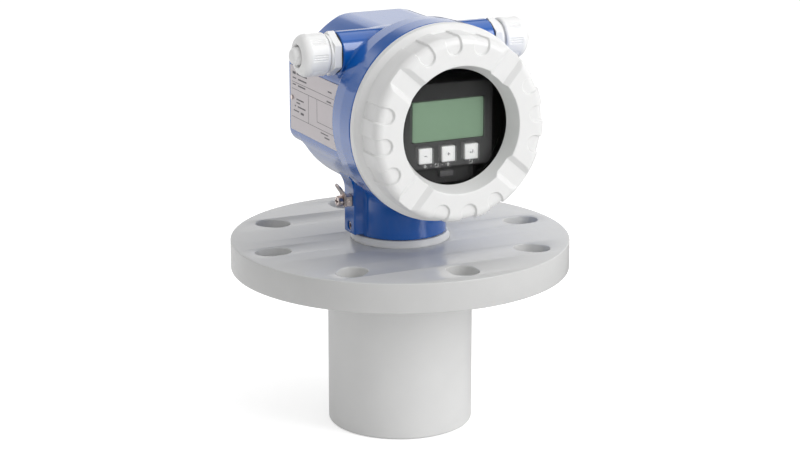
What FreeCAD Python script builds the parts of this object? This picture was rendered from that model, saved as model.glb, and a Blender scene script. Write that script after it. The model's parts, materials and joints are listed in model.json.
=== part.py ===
import FreeCAD, Part
import os
import Sketcher

# Ultrasonic level transmitter on a slotted process flange.
# Origin: centre of the flange's sealing face. +Z runs up the sensor axis, the display faces -Y.

SIZES = {
    # clearances shared by the fits
    "fit_gap": 0.2,
    "run_gap": 0.3,
    # process flange
    "flange_diameter": 228.6,
    "flange_thickness": 20,
    "flange_edge": 0.8,
    "slot_width": 19,
    "slot_rim": 38.1,
    "slot_stretch": 10.5,
    # sensor below and through the flange
    "tube_diameter": 98,
    "tube_reach": 108.8,
    "tube_wall": 5,
    "tube_floor": 4,
    "tube_edge": 1.5,
    "head_rim": 6,
    "head_seat": 2,
    "head_plug": 10,
    "shank_diameter": 48,
    "lead_bore": 12,
    "lead_diameter": 4,
    "face_seal_circle": 72,
    "face_seal_wire": 2.6,
    "matching_height": 6,
    "piezo_diameter": 50,
    "piezo_height": 12,
    "foam_height": 30,
    # swivel between sensor and housing
    "collar_diameter": 67,
    "collar_height": 4.6,
    "collar_edge": 1,
    "spigot_diameter": 44.6,
    "spigot_height": 20,
    "screw_groove_width": 6,
    "screw_groove_depth": 1.6,
    "swivel_seal_wire": 2.2,
    "swivel_seal_drop": 4.5,
    # housing casting, drawn about the cover axis
    "axis_height": 111.1,
    "barrel_wall": 10.5,
    "barrel_rear": 42,
    "flat_cut": 4.5,
    "box_half_height": 32,
    "box_rear": 58,
    "box_corner": 10,
    "rear_edge": 2.5,
    "ring_wall": 6.9,
    "ring_back": 30,
    "ring_taper": 0.8,
    "ring_edge": 2.5,
    "joint_plane": 61,
    "joint_gap": 0.4,
    "thread_diameter": 114.8,
    "thread_depth": 14,
    "thread_shoulder": 7.4,
    "cavity_rear": 36,
    "rear_wall": 6,
    "side_wall": 10,
    "room_wall": 8,
    "room_corner": 5,
    "swivel_gap": 0.5,
    "neck_diameter": 62.6,
    "pad_reach": 38,
    "pad_width": 16,
    "pad_forward": 1,
    "pad_lift": 1.7,
    "set_screw_height": 31.7,
    "set_screw_diameter": 5.6,
    "set_screw_sink": 1,
    "set_screw_socket": 3,
    "boss_diameter": 28,
    "boss_step": 5.7,
    "gland_rise": 41.7,
    "gland_forward": 17.5,
    "gland_thread": 20,
    # ground terminal on the neck pad
    "ground_below": 1.3,
    "ground_forward": 3.4,
    "ground_block": 8.5,
    "ground_block_depth": 5,
    "ground_clamp": 1.2,
    "clamp_tongue_rise": 6,
    "clamp_tongue_out": 5.2,
    "ground_screw": 4,
    "ground_screw_length": 8,
    "ground_head": 8.4,
    "ground_head_depth": 4,
    "ground_head_edge": 0.8,
    "driver_width": 1,
    "driver_depth": 1.4,
    # name plate on the left flat
    "plate_height": 44,
    "plate_rear_margin": 3,
    "plate_front_margin": 2,
    "plate_thickness": 0.6,
    "rivet_diameter": 3,
    "rivet_head": 0.8,
    # cover
    "cover_roll": 6,
    "rim_step": 14.2,
    "rim_width": 5.5,
    "grip_step": 6.2,
    "grip_back": 69,
    "cover_front": 90.5,
    "grip_round": 6,
    "lip_diameter": 82.6,
    "window_diameter": 75.2,
    "window_front": 79.1,
    "glass_seat": 88.6,
    "glass_thickness": 3.4,
    "gasket_thickness": 0.8,
    "retainer_width": 5,
    "retainer_height": 2.5,
    "cover_spigot": 12,
    "cover_wall": 6.5,
    "cover_seal_wire": 2.2,
    "cover_seal_back": 3.7,
    "flute_width": 10.4,
    "flute_depth": 1.5,
    "flute_reach": 11.6,
    "groove_floor": 10.6,
    "groove_slope": 3.4,
    "groove_depth": 3,
    # electronics and display inside the housing
    "pot_gap": 4,
    "pot_front": 10,
    "pot_wall": 2.2,
    "board_back": 2,
    "board_thickness": 1.6,
    "terminal_width": 44,
    "terminal_height": 14,
    "terminal_depth": 12,
    "terminal_pitch": 8,
    "terminal_margin": 8.7,
    "terminal_well": 6,
    "carrier_plate": 43,
    "carrier_thickness": 3,
    "carrier_wall": 2.5,
    "lip_half_width": 20,
    "lip_margin": 7,
    "lip_front": 67,
    "module_side_margin": 15,
    "module_top_margin": 18.6,
    "module_bottom_margin": 19.5,
    "module_front": 71,
    "module_edge": 1.5,
    "module_wall": 2.5,
    "module_face": 9,
    "pane_half_width": 25.6,
    "pane_top": 16.4,
    "pane_bottom": 10.3,
    "pane_depth": 2,
    "key_width": 10,
    "key_height": 11.4,
    "key_pitch": 16.4,
    "key_drop": 19.1,
    "key_proud": 0.8,
    "key_pocket": 4,
    "key_travel": 0.6,
    "latch_width": 9.4,
    "latch_height": 3.6,
    "latch_rise": 6.6,
    "latch_proud": 2,
    # cable glands, drawn outward from the boss face
    "hex_flats": 25.5,
    "hex_height": 5.6,
    "washer_thickness": 0.9,
    "shank_length": 10,
    "gland_bore": 14,
    "collet_diameter": 23,
    "collet_height": 9,
    "seat_diameter": 19.6,
    "nut_diameter": 28,
    "nut_gap": 1.6,
    "nut_straight": 13.4,
    "nut_dome": 5.2,
    "nut_round": 6,
    "nut_wall": 2,
    "mouth_diameter": 13.8,
    "rib_count": 12,
    "rib_radius": 0.9,
    "rib_margin": 1.5,
    "plug_diameter": 10.6,
    "plug_head": 11.8,
    "plug_proud": 4.5,
    "plug_round": 4.5,
}

SLOT_COUNT = 8
QUARTERS = 4
HEX_SIDES = 6
FLUTE_ANGLES = (-20.7, 0, 20.7)
GROOVE_ANGLE = 43.5
TERMINAL_COLUMNS = (-2, -1, 0, 1, 2)
KEY_NAMES = ("key_minus", "key_plus", "key_enter")
X_AXIS = FreeCAD.Vector(1, 0, 0)
Y_AXIS = FreeCAD.Vector(0, 1, 0)
Z_AXIS = FreeCAD.Vector(0, 0, 1)
TINY = 1e-6

doc = FreeCAD.newDocument("level_transmitter")
sheet = doc.addObject("Spreadsheet::Sheet", "dim")
for row, (alias, size) in enumerate(SIZES.items(), 1):
    sheet.set(f"A{row}", alias)
    sheet.set(f"B{row}", str(size))
    sheet.setAlias(f"B{row}", alias)
doc.recompute()
nodes = []


def value(expression):
    return float(sheet.evalExpression(expression))


def start_body(label):
    """New sub-part, drawn in the row frame."""
    body = doc.addObject("PartDesign::Body", label)
    body.Label = label
    nodes.append(body)
    return body


def head_body(label, roll=None):
    """New sub-part drawn about the cover axis: local Z points out of the display, local Y up."""
    body = start_body(label)
    turn = FreeCAD.Rotation(X_AXIS, 90)
    if roll:
        turn = turn * FreeCAD.Rotation(Z_AXIS, value(roll))
    body.Placement = FreeCAD.Placement(FreeCAD.Vector(0, 0, 0), turn)
    body.setExpression("Placement.Base.z", "dim.axis_height")
    return body


def side_body(label, side, reach, forward, height):
    """New sub-part whose local Z points out sideways, along -X for side -1 and +X for side 1."""
    body = start_body(label)
    body.Placement = FreeCAD.Placement(FreeCAD.Vector(0, 0, 0), FreeCAD.Rotation(Y_AXIS, 90 * side))
    body.setExpression("Placement.Base.x", f"{side} * ({reach})")
    body.setExpression("Placement.Base.y", f"-({forward})")
    body.setExpression("Placement.Base.z", height)
    return body


def origin_part(body, role):
    return next(part for part in body.Origin.OriginFeatures if part.Role == role)


def sketch_on(body, plane, offset=None, turn=None):
    """Sketch on one of the body's own planes, moved out by offset and turned (axis, degrees)."""
    sketch = body.newObject("Sketcher::SketchObject", body.Label + "_sketch")
    sketch.AttachmentSupport = [(origin_part(body, plane), "")]
    sketch.MapMode = "FlatFace"
    if turn:
        sketch.AttachmentOffset = FreeCAD.Placement(FreeCAD.Vector(0, 0, 0), FreeCAD.Rotation(*turn))
    if offset:
        sketch.setExpression("AttachmentOffset.Base.z", offset)
    return sketch


def tie(sketch, direction, geometry, point, expression):
    """Hold one coordinate of a sketch point at a value from the sheet."""
    number = value(expression)
    if abs(number) < TINY:
        axis = -2 if direction == "DistanceX" else -1
        sketch.addConstraint(Sketcher.Constraint("PointOnObject", geometry, point, axis))
        return
    held = sketch.addConstraint(Sketcher.Constraint(direction, -1, 1, geometry, point, number))
    sketch.setExpression(f"Constraints[{held}]", expression)


def tie_point(sketch, geometry, point, place):
    tie(sketch, "DistanceX", geometry, point, place[0])
    tie(sketch, "DistanceY", geometry, point, place[1])


def vector(place):
    return FreeCAD.Vector(value(place[0]), value(place[1]), 0)


def outline(sketch, places):
    """Closed loop of straight lines through the places."""
    first = sketch.GeometryCount
    count = len(places)
    for k, place in enumerate(places):
        sketch.addGeometry(Part.LineSegment(vector(place), vector(places[(k + 1) % count])))
    for k, place in enumerate(places):
        sketch.addConstraint(Sketcher.Constraint("Coincident", first + (k - 1) % count, 2, first + k, 1))
        tie_point(sketch, first + k, 1, place)
    return sketch


def circle(sketch, centre, radius):
    drawn = sketch.addGeometry(Part.Circle(vector(centre), Z_AXIS, value(radius)))
    held = sketch.addConstraint(Sketcher.Constraint("Radius", drawn, value(radius)))
    sketch.setExpression(f"Constraints[{held}]", radius)
    tie_point(sketch, drawn, 3, centre)
    return sketch


def box_places(left, right, bottom, top):
    return [(left, bottom), (right, bottom), (right, top), (left, top)]


def slot_outline(sketch, near, far, radius):
    """Round-ended slot along the sketch's X axis, between two arc centres."""
    first = sketch.GeometryCount
    below = f"-({radius})"
    sketch.addGeometry(Part.LineSegment(vector((near, below)), vector((far, below))))
    sketch.addGeometry(Part.LineSegment(vector((far, radius)), vector((near, radius))))
    arc_far = Part.Arc(vector((far, below)), vector((f"{far} + {radius}", "0")), vector((far, radius)))
    arc_near = Part.Arc(vector((near, radius)), vector((f"{near} - {radius}", "0")), vector((near, below)))
    sketch.addGeometry(arc_far)
    sketch.addGeometry(arc_near)
    for point, place in ((1, (near, below)), (2, (far, below))):
        tie_point(sketch, first, point, place)
    for point, place in ((1, (far, radius)), (2, (near, radius))):
        tie_point(sketch, first + 1, point, place)
    for arc, start, end, middle in ((2, (0, 2), (1, 1), far), (3, (1, 2), (0, 1), near)):
        for point, (line, tip) in ((1, start), (2, end)):
            join = Sketcher.Constraint("Coincident", first + arc, point, first + line, tip)
            sketch.addConstraint(join)
        tie(sketch, "DistanceX", first + arc, 3, middle)
    return sketch


def rounded_box(sketch, half_width, half_height, corner):
    """Rectangle with round corners, centred on the sketch's origin."""
    first = sketch.GeometryCount
    run = f"({half_width} - {corner})"
    rise = f"({half_height} - ({corner}))"
    wide = f"({half_width})"
    high = f"({half_height})"
    lines = (
        ((f"-{run}", f"-{high}"), (run, f"-{high}")),
        ((wide, f"-{rise}"), (wide, rise)),
        ((run, high), (f"-{run}", high)),
        ((f"-{wide}", rise), (f"-{wide}", f"-{rise}")),
    )
    for start, end in lines:
        sketch.addGeometry(Part.LineSegment(vector(start), vector(end)))
    for k, (start, end) in enumerate(lines):
        tie_point(sketch, first + k, 1, start)
        tie_point(sketch, first + k, 2, end)
    centres = ((run, f"-{rise}"), (run, rise), (f"-{run}", rise), (f"-{run}", f"-{rise}"))
    radius = value(corner)
    for k, centre in enumerate(centres):
        begin = vector(lines[k][1])
        finish = vector(lines[(k + 1) % len(lines)][0])
        middle = vector(centre)
        away = ((begin + finish) * 0.5 - middle).normalize()
        arc = sketch.addGeometry(Part.Arc(begin, middle + away * radius, finish))
        sketch.addConstraint(Sketcher.Constraint("Coincident", arc, 1, first + k, 2))
        sketch.addConstraint(Sketcher.Constraint("Coincident", arc, 2, first + (k + 1) % len(lines), 1))
        held = sketch.addConstraint(Sketcher.Constraint("Radius", arc, radius))
        sketch.setExpression(f"Constraints[{held}]", corner)
    return sketch


def revolve(body, places, cut=False):
    """Turn a closed (radius, height) outline about the body's Z axis."""
    sketch = outline(sketch_on(body, "XZ_Plane"), places)
    kind = "PartDesign::Groove" if cut else "PartDesign::Revolution"
    feature = body.newObject(kind, body.Label + "_turned")
    feature.Profile = sketch
    feature.ReferenceAxis = (sketch, ["V_Axis"])
    feature.Angle = 360
    doc.recompute()
    return feature


def extrude(body, sketch, length=None, cut=False, back=False, both=False):
    """Pad or pocket; without a length a pocket goes right through."""
    kind = "PartDesign::Pocket" if cut else "PartDesign::Pad"
    feature = body.newObject(kind, body.Label + "_extruded")
    feature.Profile = sketch
    feature.Reversed = back
    if both:
        feature.SideType = "Symmetric"
    if length:
        feature.setExpression("Length", length)
    else:
        feature.Type = "ThroughAll"
    before = body.Shape.Volume if cut else 0
    doc.recompute()
    if cut and body.Shape.Volume > before - TINY:
        raise ValueError(f"a pocket of {body.Label} cuts nothing")
    return feature


def repeat(body, features, count):
    """Copies of the features evenly round the body's Z axis."""
    pattern = body.newObject("PartDesign::PolarPattern", body.Label + "_pattern")
    pattern.Originals = features
    pattern.Axis = (origin_part(body, "Z_Axis"), [""])
    pattern.Angle = 360
    pattern.Occurrences = count
    body.Tip = pattern
    doc.recompute()
    return pattern


def round_edges(body, wanted, radius):
    """Fillet every edge of the body so far that the test picks, in the body's own frame."""
    tip = body.Tip
    names = [f"Edge{k}" for k, edge in enumerate(tip.Shape.Edges, 1) if wanted(edge)]
    feature = body.newObject("PartDesign::Fillet", body.Label + "_rounded")
    feature.Base = (tip, names)
    feature.setExpression("Radius", radius)
    doc.recompute()
    return feature


def circle_edge(radius, height):
    """Test for a full circle about the Z axis at a radius and height."""
    size = value(radius)
    level = value(height)

    def test(edge):
        if not isinstance(edge.Curve, Part.Circle):
            return False
        centred = abs(edge.Curve.Center.x) < TINY and abs(edge.Curve.Center.y) < TINY
        placed = abs(edge.Curve.Center.z - level) < TINY
        return centred and placed and abs(edge.Curve.Radius - size) < TINY

    return test


def level_edge(height):
    """Test for an edge that lies wholly at one height."""
    level = value(height)

    def test(edge):
        bound = edge.BoundBox
        return abs(bound.ZMin - level) < TINY * 100 and abs(bound.ZMax - level) < TINY * 100

    return test


def seal_ring(label, body, circle_diameter, wire, height):
    """Seal of round section, centred on the body's axis."""
    centre = (f"({circle_diameter}) / 2", height)
    sketch = circle(sketch_on(body, "XZ_Plane"), centre, f"({wire}) / 2")
    feature = body.newObject("PartDesign::Revolution", label + "_turned")
    feature.Profile = sketch
    feature.ReferenceAxis = (sketch, ["V_Axis"])
    feature.Angle = 360
    doc.recompute()


COLLAR_TOP = "(dim.flange_thickness + dim.collar_height)"
SPIGOT_TOP = f"({COLLAR_TOP} + dim.spigot_height)"
NECK_BOTTOM = f"({COLLAR_TOP} + dim.run_gap)"
SPIGOT = "(dim.spigot_diameter / 2)"
TUBE_INSIDE = "(dim.tube_diameter / 2 - dim.tube_wall)"
FILL = f"({TUBE_INSIDE} - dim.fit_gap)"
FLOOR_TOP = "(-dim.tube_reach + dim.tube_floor)"
LAYER_TOP = f"({FLOOR_TOP} + dim.matching_height)"
PIEZO_TOP = f"({LAYER_TOP} + dim.piezo_height)"
FOAM_TOP = f"({LAYER_TOP} + dim.foam_height)"
HEAD_BOTTOM = "(-dim.head_rim - dim.head_plug)"
LEAD_HOLE = "(dim.lead_diameter / 2 + dim.fit_gap)"
HEAD_TOP = "dim.head_seat"
THREAD = "(dim.thread_diameter / 2)"
CAVITY = f"({THREAD} - dim.thread_shoulder)"
POT = f"({CAVITY} - dim.pot_gap)"
BARREL = f"({CAVITY} + dim.barrel_wall)"
BOSS_FACE = f"({BARREL} - dim.boss_step)"
GLAND_HEIGHT = "(dim.axis_height + dim.gland_rise)"
GROUND_DROP = f"({BARREL} + dim.ground_below)"
GROUND_HEIGHT = f"(dim.axis_height - {GROUND_DROP})"
MODULE_TOP = f"({POT} - dim.module_top_margin)"
MODULE_BOTTOM = f"({POT} - dim.module_bottom_margin)"


def build_flange():
    body = start_body("process_flange")
    plate = circle(sketch_on(body, "XY_Plane"), ("0", "0"), "dim.flange_diameter / 2")
    circle(plate, ("0", "0"), "dim.shank_diameter / 2 + dim.fit_gap")
    extrude(body, plate, "dim.flange_thickness")
    for level in ("0", "dim.flange_thickness"):
        round_edges(body, circle_edge("dim.flange_diameter / 2", level), "dim.flange_edge")
    far = "(dim.flange_diameter - dim.slot_rim) / 2"
    near = f"({far} - dim.slot_stretch / 2)"
    slot = slot_outline(sketch_on(body, "XY_Plane"), near, far, "dim.slot_width / 2")
    cut = extrude(body, slot, cut=True, both=True)
    repeat(body, [cut], SLOT_COUNT)
    seat = circle(sketch_on(body, "XY_Plane"), ("0", "0"), "dim.tube_diameter / 2 + dim.fit_gap")
    extrude(body, seat, HEAD_TOP, cut=True, back=True)


def build_sensor():
    tube = start_body("sensor_tube")
    wall = "dim.tube_diameter / 2"
    revolve(tube, [
        ("0", "-dim.tube_reach"), (wall, "-dim.tube_reach"), (wall, "-dim.head_rim"),
        (TUBE_INSIDE, "-dim.head_rim"), (TUBE_INSIDE, FLOOR_TOP), ("0", FLOOR_TOP),
    ])
    round_edges(tube, circle_edge(wall, "-dim.tube_reach"), "dim.tube_edge")

    head = start_body("sensor_head")
    bore = "dim.lead_bore / 2"
    shank = "dim.shank_diameter / 2"
    seal_in = "dim.face_seal_circle / 2 - dim.face_seal_wire / 2 - dim.fit_gap"
    seal_out = "dim.face_seal_circle / 2 + dim.face_seal_wire / 2 + dim.fit_gap"
    seal_floor = f"{HEAD_TOP} - dim.face_seal_wire - dim.fit_gap"
    neck_in = f"{SPIGOT} - dim.screw_groove_depth"
    low = "dim.set_screw_height - dim.screw_groove_width / 2"
    high = "dim.set_screw_height + dim.screw_groove_width / 2"
    seal_level = f"({SPIGOT_TOP} - dim.swivel_seal_drop)"
    seal_half = "(dim.swivel_seal_wire / 2 + dim.fit_gap)"
    seal_wall = f"{SPIGOT} - dim.swivel_seal_wire + dim.fit_gap / 2"
    revolve(head, [
        (bore, HEAD_BOTTOM), (FILL, HEAD_BOTTOM), (FILL, "-dim.head_rim"), (wall, "-dim.head_rim"),
        (wall, HEAD_TOP), (seal_out, HEAD_TOP), (seal_out, seal_floor), (seal_in, seal_floor),
        (seal_in, HEAD_TOP), (shank, HEAD_TOP), (shank, COLLAR_TOP), (SPIGOT, COLLAR_TOP), (SPIGOT, low),
        (neck_in, low), (neck_in, high), (SPIGOT, high), (SPIGOT, f"{seal_level} - {seal_half}"),
        (seal_wall, f"{seal_level} - {seal_half}"), (seal_wall, f"{seal_level} + {seal_half}"),
        (SPIGOT, f"{seal_level} + {seal_half}"), (SPIGOT, SPIGOT_TOP), (bore, SPIGOT_TOP),
    ])

    face_seal = start_body("flange_o_ring")
    seal_ring("flange_o_ring", face_seal, "dim.face_seal_circle", "dim.face_seal_wire",
              f"{HEAD_TOP} - dim.face_seal_wire / 2 - dim.fit_gap / 2")
    swivel_seal = start_body("swivel_o_ring")
    seal_circle = f"2 * {SPIGOT} - dim.swivel_seal_wire + dim.fit_gap + dim.fit_gap / 2"
    seal_ring("swivel_o_ring", swivel_seal, seal_circle, "dim.swivel_seal_wire", seal_level)

    collar = start_body("lock_collar")
    inside = "dim.shank_diameter / 2 + dim.fit_gap"
    outside = "dim.collar_diameter / 2"
    revolve(collar, [
        (inside, "dim.flange_thickness"), (outside, "dim.flange_thickness"),
        (outside, f"{COLLAR_TOP} - dim.collar_edge"), (f"{outside} - dim.collar_edge", COLLAR_TOP),
        (inside, COLLAR_TOP),
    ])


def build_transducer():
    layer = start_body("matching_layer")
    revolve(layer, [("0", FLOOR_TOP), (FILL, FLOOR_TOP), (FILL, LAYER_TOP), ("0", LAYER_TOP)])
    piezo = start_body("piezo_disc")
    disc = "dim.piezo_diameter / 2"
    revolve(piezo, [("0", LAYER_TOP), (disc, LAYER_TOP), (disc, PIEZO_TOP), ("0", PIEZO_TOP)])
    foam = start_body("damping_foam")
    clear = f"{disc} + dim.fit_gap"
    roof = f"{PIEZO_TOP} + dim.fit_gap"
    revolve(foam, [
        (clear, LAYER_TOP), (FILL, LAYER_TOP), (FILL, FOAM_TOP), (LEAD_HOLE, FOAM_TOP),
        (LEAD_HOLE, roof), (clear, roof),
    ])
    potting = start_body("potting_plug")
    revolve(potting, [
        (LEAD_HOLE, FOAM_TOP), (FILL, FOAM_TOP), (FILL, HEAD_BOTTOM), (LEAD_HOLE, HEAD_BOTTOM),
    ])
    lead = start_body("sensor_lead")
    wire = "dim.lead_diameter / 2"
    top = f"dim.axis_height - {POT} - dim.run_gap"
    revolve(lead, [("0", PIEZO_TOP), (wire, PIEZO_TOP), (wire, top), ("0", top)])


FLAT = f"({BARREL} - dim.flat_cut)"
RING = f"({THREAD} + dim.ring_wall)"
RING_FRONT = "dim.joint_plane - dim.joint_gap"
NECK_LENGTH = f"dim.axis_height - {NECK_BOTTOM}"


def ring_places(core, front):
    """Section of the round front ring, from an inner radius out to its tapered and chamfered wall."""
    return [
        (core, "dim.ring_back"), (f"{RING} - dim.ring_taper - dim.ring_edge", "dim.ring_back"),
        (f"{RING} - dim.ring_taper", "dim.ring_back + dim.ring_edge"),
        (RING, "(dim.ring_back + dim.joint_plane) / 2"), (RING, front), (core, front),
    ]


def rear_room(body, offset, length):
    """Room in the rear box, behind the round cavity."""
    drawn = rounded_box(sketch_on(body, "XY_Plane", offset), f"{FLAT} - dim.side_wall",
                        "dim.box_half_height - dim.room_wall", "dim.room_corner")
    extrude(body, drawn, length, cut=True)


def build_casting():
    body = head_body("housing_casting")
    depth = "dim.barrel_rear + dim.ring_back + dim.ring_edge"
    extrude(body, circle(sketch_on(body, "XY_Plane", "-dim.barrel_rear"), ("0", "0"), BARREL), depth)
    flats = sketch_on(body, "XY_Plane")
    beyond = f"2 * {RING}"
    outline(flats, box_places(f"-{beyond}", f"-{FLAT}", f"-{beyond}", beyond))
    outline(flats, box_places(FLAT, beyond, f"-{beyond}", beyond))
    extrude(body, flats, cut=True, both=True)
    top_flat = sketch_on(body, "XY_Plane")
    outline(top_flat, box_places(f"-{beyond}", beyond, FLAT, beyond))
    extrude(body, top_flat, cut=True, both=True)
    box = rounded_box(sketch_on(body, "XY_Plane", "-dim.barrel_rear"), FLAT, "dim.box_half_height",
                      "dim.box_corner")
    extrude(body, box, depth)
    revolve(body, ring_places(f"{RING} / 2", RING_FRONT))
    gland_place = ("dim.gland_rise", "dim.gland_forward")
    bosses = circle(sketch_on(body, "YZ_Plane"), gland_place, "dim.boss_diameter / 2")
    extrude(body, bosses, f"2 * {BOSS_FACE}", both=True)

    step = "dim.joint_plane - dim.thread_depth"
    revolve(body, [
        ("0", "-dim.cavity_rear"), (CAVITY, "-dim.cavity_rear"), (CAVITY, step), (THREAD, step),
        (THREAD, "dim.joint_plane"), ("0", "dim.joint_plane"),
    ], cut=True)
    rear_room(body, "-dim.cavity_rear", "dim.barrel_rear - dim.cavity_rear")
    bore = circle(sketch_on(body, "XZ_Plane"), ("0", "0"), f"{SPIGOT} + dim.swivel_gap")
    extrude(body, bore, cut=True, back=True)
    entries = circle(sketch_on(body, "YZ_Plane"), gland_place, "dim.gland_thread / 2 + dim.fit_gap / 2")
    extrude(body, entries, cut=True, both=True)

    rear = head_body("housing_rear")
    drawn = rounded_box(sketch_on(rear, "XY_Plane", "-dim.box_rear"), FLAT, "dim.box_half_height",
                        "dim.box_corner")
    extrude(rear, drawn, "dim.box_rear - dim.barrel_rear")
    round_edges(rear, level_edge("-dim.box_rear"), "dim.rear_edge")
    rear_room(rear, "-dim.barrel_rear", "dim.box_rear - dim.barrel_rear - dim.rear_wall")


def build_neck():
    """Neck below the barrel, with the flat pad that carries the ground terminal and the set screw."""
    body = head_body("housing_neck")
    round_neck = circle(sketch_on(body, "XZ_Plane"), ("0", "0"), "dim.neck_diameter / 2")
    extrude(body, round_neck, NECK_LENGTH)
    half_pad = "dim.pad_width / 2"
    pad = sketch_on(body, "XZ_Plane")
    outline(pad, box_places("-dim.pad_reach", "0", f"dim.pad_forward - {half_pad}",
                            f"dim.pad_forward + {half_pad}"))
    extrude(body, pad, f"{NECK_LENGTH} - dim.pad_lift")
    extrude(body, circle(sketch_on(body, "XY_Plane"), ("0", "0"), BARREL), cut=True, both=True)
    revolve(body, ring_places("0", RING_FRONT), cut=True)
    bore = circle(sketch_on(body, "XZ_Plane"), ("0", "0"), f"{SPIGOT} + dim.swivel_gap")
    extrude(body, bore, cut=True, back=True)
    screw_place = ("dim.set_screw_height - dim.axis_height", "dim.pad_forward")
    screw_hole = circle(sketch_on(body, "YZ_Plane"), screw_place, "dim.set_screw_diameter / 2 + dim.fit_gap / 2")
    extrude(body, screw_hole, f"2 * {RING}", cut=True)
    ground_place = (f"-{GROUND_DROP}", "dim.ground_forward")
    ground_hole = circle(sketch_on(body, "YZ_Plane", "-dim.pad_reach"), ground_place,
                         "dim.ground_screw / 2 + dim.fit_gap / 2")
    extrude(body, ground_hole, "dim.ground_screw_length + dim.fit_gap", cut=True, back=True)


def build_neck_fittings():
    groove = f"{SPIGOT} - dim.screw_groove_depth"
    screw = side_body("swivel_set_screw", -1, "0", "dim.pad_forward", "dim.set_screw_height")
    tip = f"{groove} + dim.run_gap"
    shoulder = f"{SPIGOT} + 2 * dim.run_gap"
    body_radius = "dim.set_screw_diameter / 2"
    end = "dim.pad_reach - dim.set_screw_sink"
    socket = "dim.set_screw_diameter / 4"
    socket_floor = f"{end} - dim.set_screw_socket"
    revolve(screw, [
        ("0", tip), (socket, tip), (socket, shoulder), (body_radius, shoulder), (body_radius, end),
        (socket, end), (socket, socket_floor), ("0", socket_floor),
    ])

    block = side_body("ground_block", -1, "dim.pad_reach", "dim.ground_forward", GROUND_HEIGHT)
    half = "dim.ground_block / 2"
    face = outline(sketch_on(block, "XY_Plane"), box_places(f"-{half}", half, f"-{half}", half))
    circle(face, ("0", "0"), "dim.ground_screw / 2 + dim.fit_gap / 2")
    extrude(block, face, "dim.ground_block_depth")

    clamp = side_body("ground_clamp", -1, "dim.pad_reach", "dim.ground_forward", GROUND_HEIGHT)
    seat = "dim.ground_block_depth"
    skin = "dim.ground_clamp"
    bend = f"({half} + {skin})"
    tip_up = f"{bend} + dim.clamp_tongue_rise"
    tip_out = f"{seat} + dim.clamp_tongue_out"
    bent = outline(sketch_on(clamp, "XZ_Plane"), [
        (f"-{half}", seat), (bend, seat), (tip_up, tip_out), (f"{tip_up} - {skin}", f"{tip_out} + {skin} / 2"),
        (half, f"{seat} + {skin}"), (f"-{half}", f"{seat} + {skin}"),
    ])
    extrude(clamp, bent, "dim.ground_block", both=True)
    hole = circle(sketch_on(clamp, "XY_Plane"), ("0", "0"), "dim.ground_screw / 2 + dim.fit_gap / 2")
    extrude(clamp, hole, cut=True, both=True)

    bolt = side_body("ground_screw", -1, "dim.pad_reach", "dim.ground_forward", GROUND_HEIGHT)
    under = f"{seat} + {skin}"
    shaft = "dim.ground_screw / 2"
    cap = "dim.ground_head / 2"
    over = f"{under} + dim.ground_head_depth"
    revolve(bolt, [
        ("0", "-dim.ground_screw_length"), (shaft, "-dim.ground_screw_length"), (shaft, under),
        (cap, under), (cap, f"{over} - dim.ground_head_edge"), (f"{cap} - dim.ground_head_edge", over),
        ("0", over),
    ])
    driver = sketch_on(bolt, "XY_Plane", over)
    outline(driver, box_places(f"-2 * {cap}", f"2 * {cap}", "-dim.driver_width / 2", "dim.driver_width / 2"))
    extrude(bolt, driver, "dim.driver_depth", cut=True)


def build_name_plate():
    plate = head_body("name_plate")
    half = "dim.plate_height / 2"
    rear = "-dim.box_rear + dim.rear_edge + dim.plate_rear_margin"
    front = "dim.ring_back - dim.plate_front_margin"
    drawn = outline(sketch_on(plate, "YZ_Plane", f"-{FLAT}"), box_places(f"-{half}", half, rear, front))
    inset = "dim.rivet_diameter"
    pin = "dim.rivet_diameter / 2"
    for place in (f"{rear} + {inset}", f"{front} - {inset}"):
        circle(drawn, ("0", place), f"{pin} + dim.fit_gap / 4")
    extrude(plate, drawn, "dim.plate_thickness", back=True)

    rivets = head_body("plate_rivets")
    for place in (f"{rear} + {inset}", f"{front} - {inset}"):
        head = circle(sketch_on(rivets, "YZ_Plane", f"-{FLAT}"), ("0", place), pin)
        rivets.AllowCompound = True
        extrude(rivets, head, "dim.plate_thickness + dim.rivet_head", back=True)


def build_electronics():
    pot = head_body("electronics_pot")
    outside = POT
    inside = f"({outside} - dim.pot_wall)"
    ledge = f"{inside} - dim.pot_wall"
    floor = "-dim.cavity_rear + dim.pot_wall"
    revolve(pot, [
        ("0", "-dim.cavity_rear"), (outside, "-dim.cavity_rear"), (outside, "dim.pot_front"),
        (inside, "dim.pot_front"), (inside, "-dim.board_back"), (ledge, "-dim.board_back"),
        (ledge, floor), ("0", floor),
    ])
    board = head_body("main_board")
    disc = f"{inside} - dim.fit_gap"
    top = "-dim.board_back + dim.board_thickness"
    revolve(board, [("0", "-dim.board_back"), (disc, "-dim.board_back"), (disc, top), ("0", top)])

    block = head_body("terminal_block")
    half = "dim.terminal_width / 2"
    low = f"-{inside} + dim.terminal_margin"
    high = f"{low} + dim.terminal_height"
    drawn = outline(sketch_on(block, "XY_Plane", top), box_places(f"-{half}", half, low, high))
    extrude(block, drawn, "dim.terminal_depth")
    screws = head_body("terminal_screws")
    screws.AllowCompound = True
    middle = f"{low} + dim.terminal_height / 2"
    for k in TERMINAL_COLUMNS:
        place = (f"{k} * dim.terminal_pitch", middle)
        wells = circle(sketch_on(block, "XY_Plane", f"{top} + dim.terminal_depth"), place, "dim.terminal_well / 2")
        extrude(block, wells, "dim.terminal_depth / 2", cut=True)
        pin = circle(sketch_on(screws, "XY_Plane", f"{top} + dim.terminal_depth / 2"), place,
                     "dim.terminal_well / 2 - dim.fit_gap")
        extrude(screws, pin, "dim.terminal_depth / 3")


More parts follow.
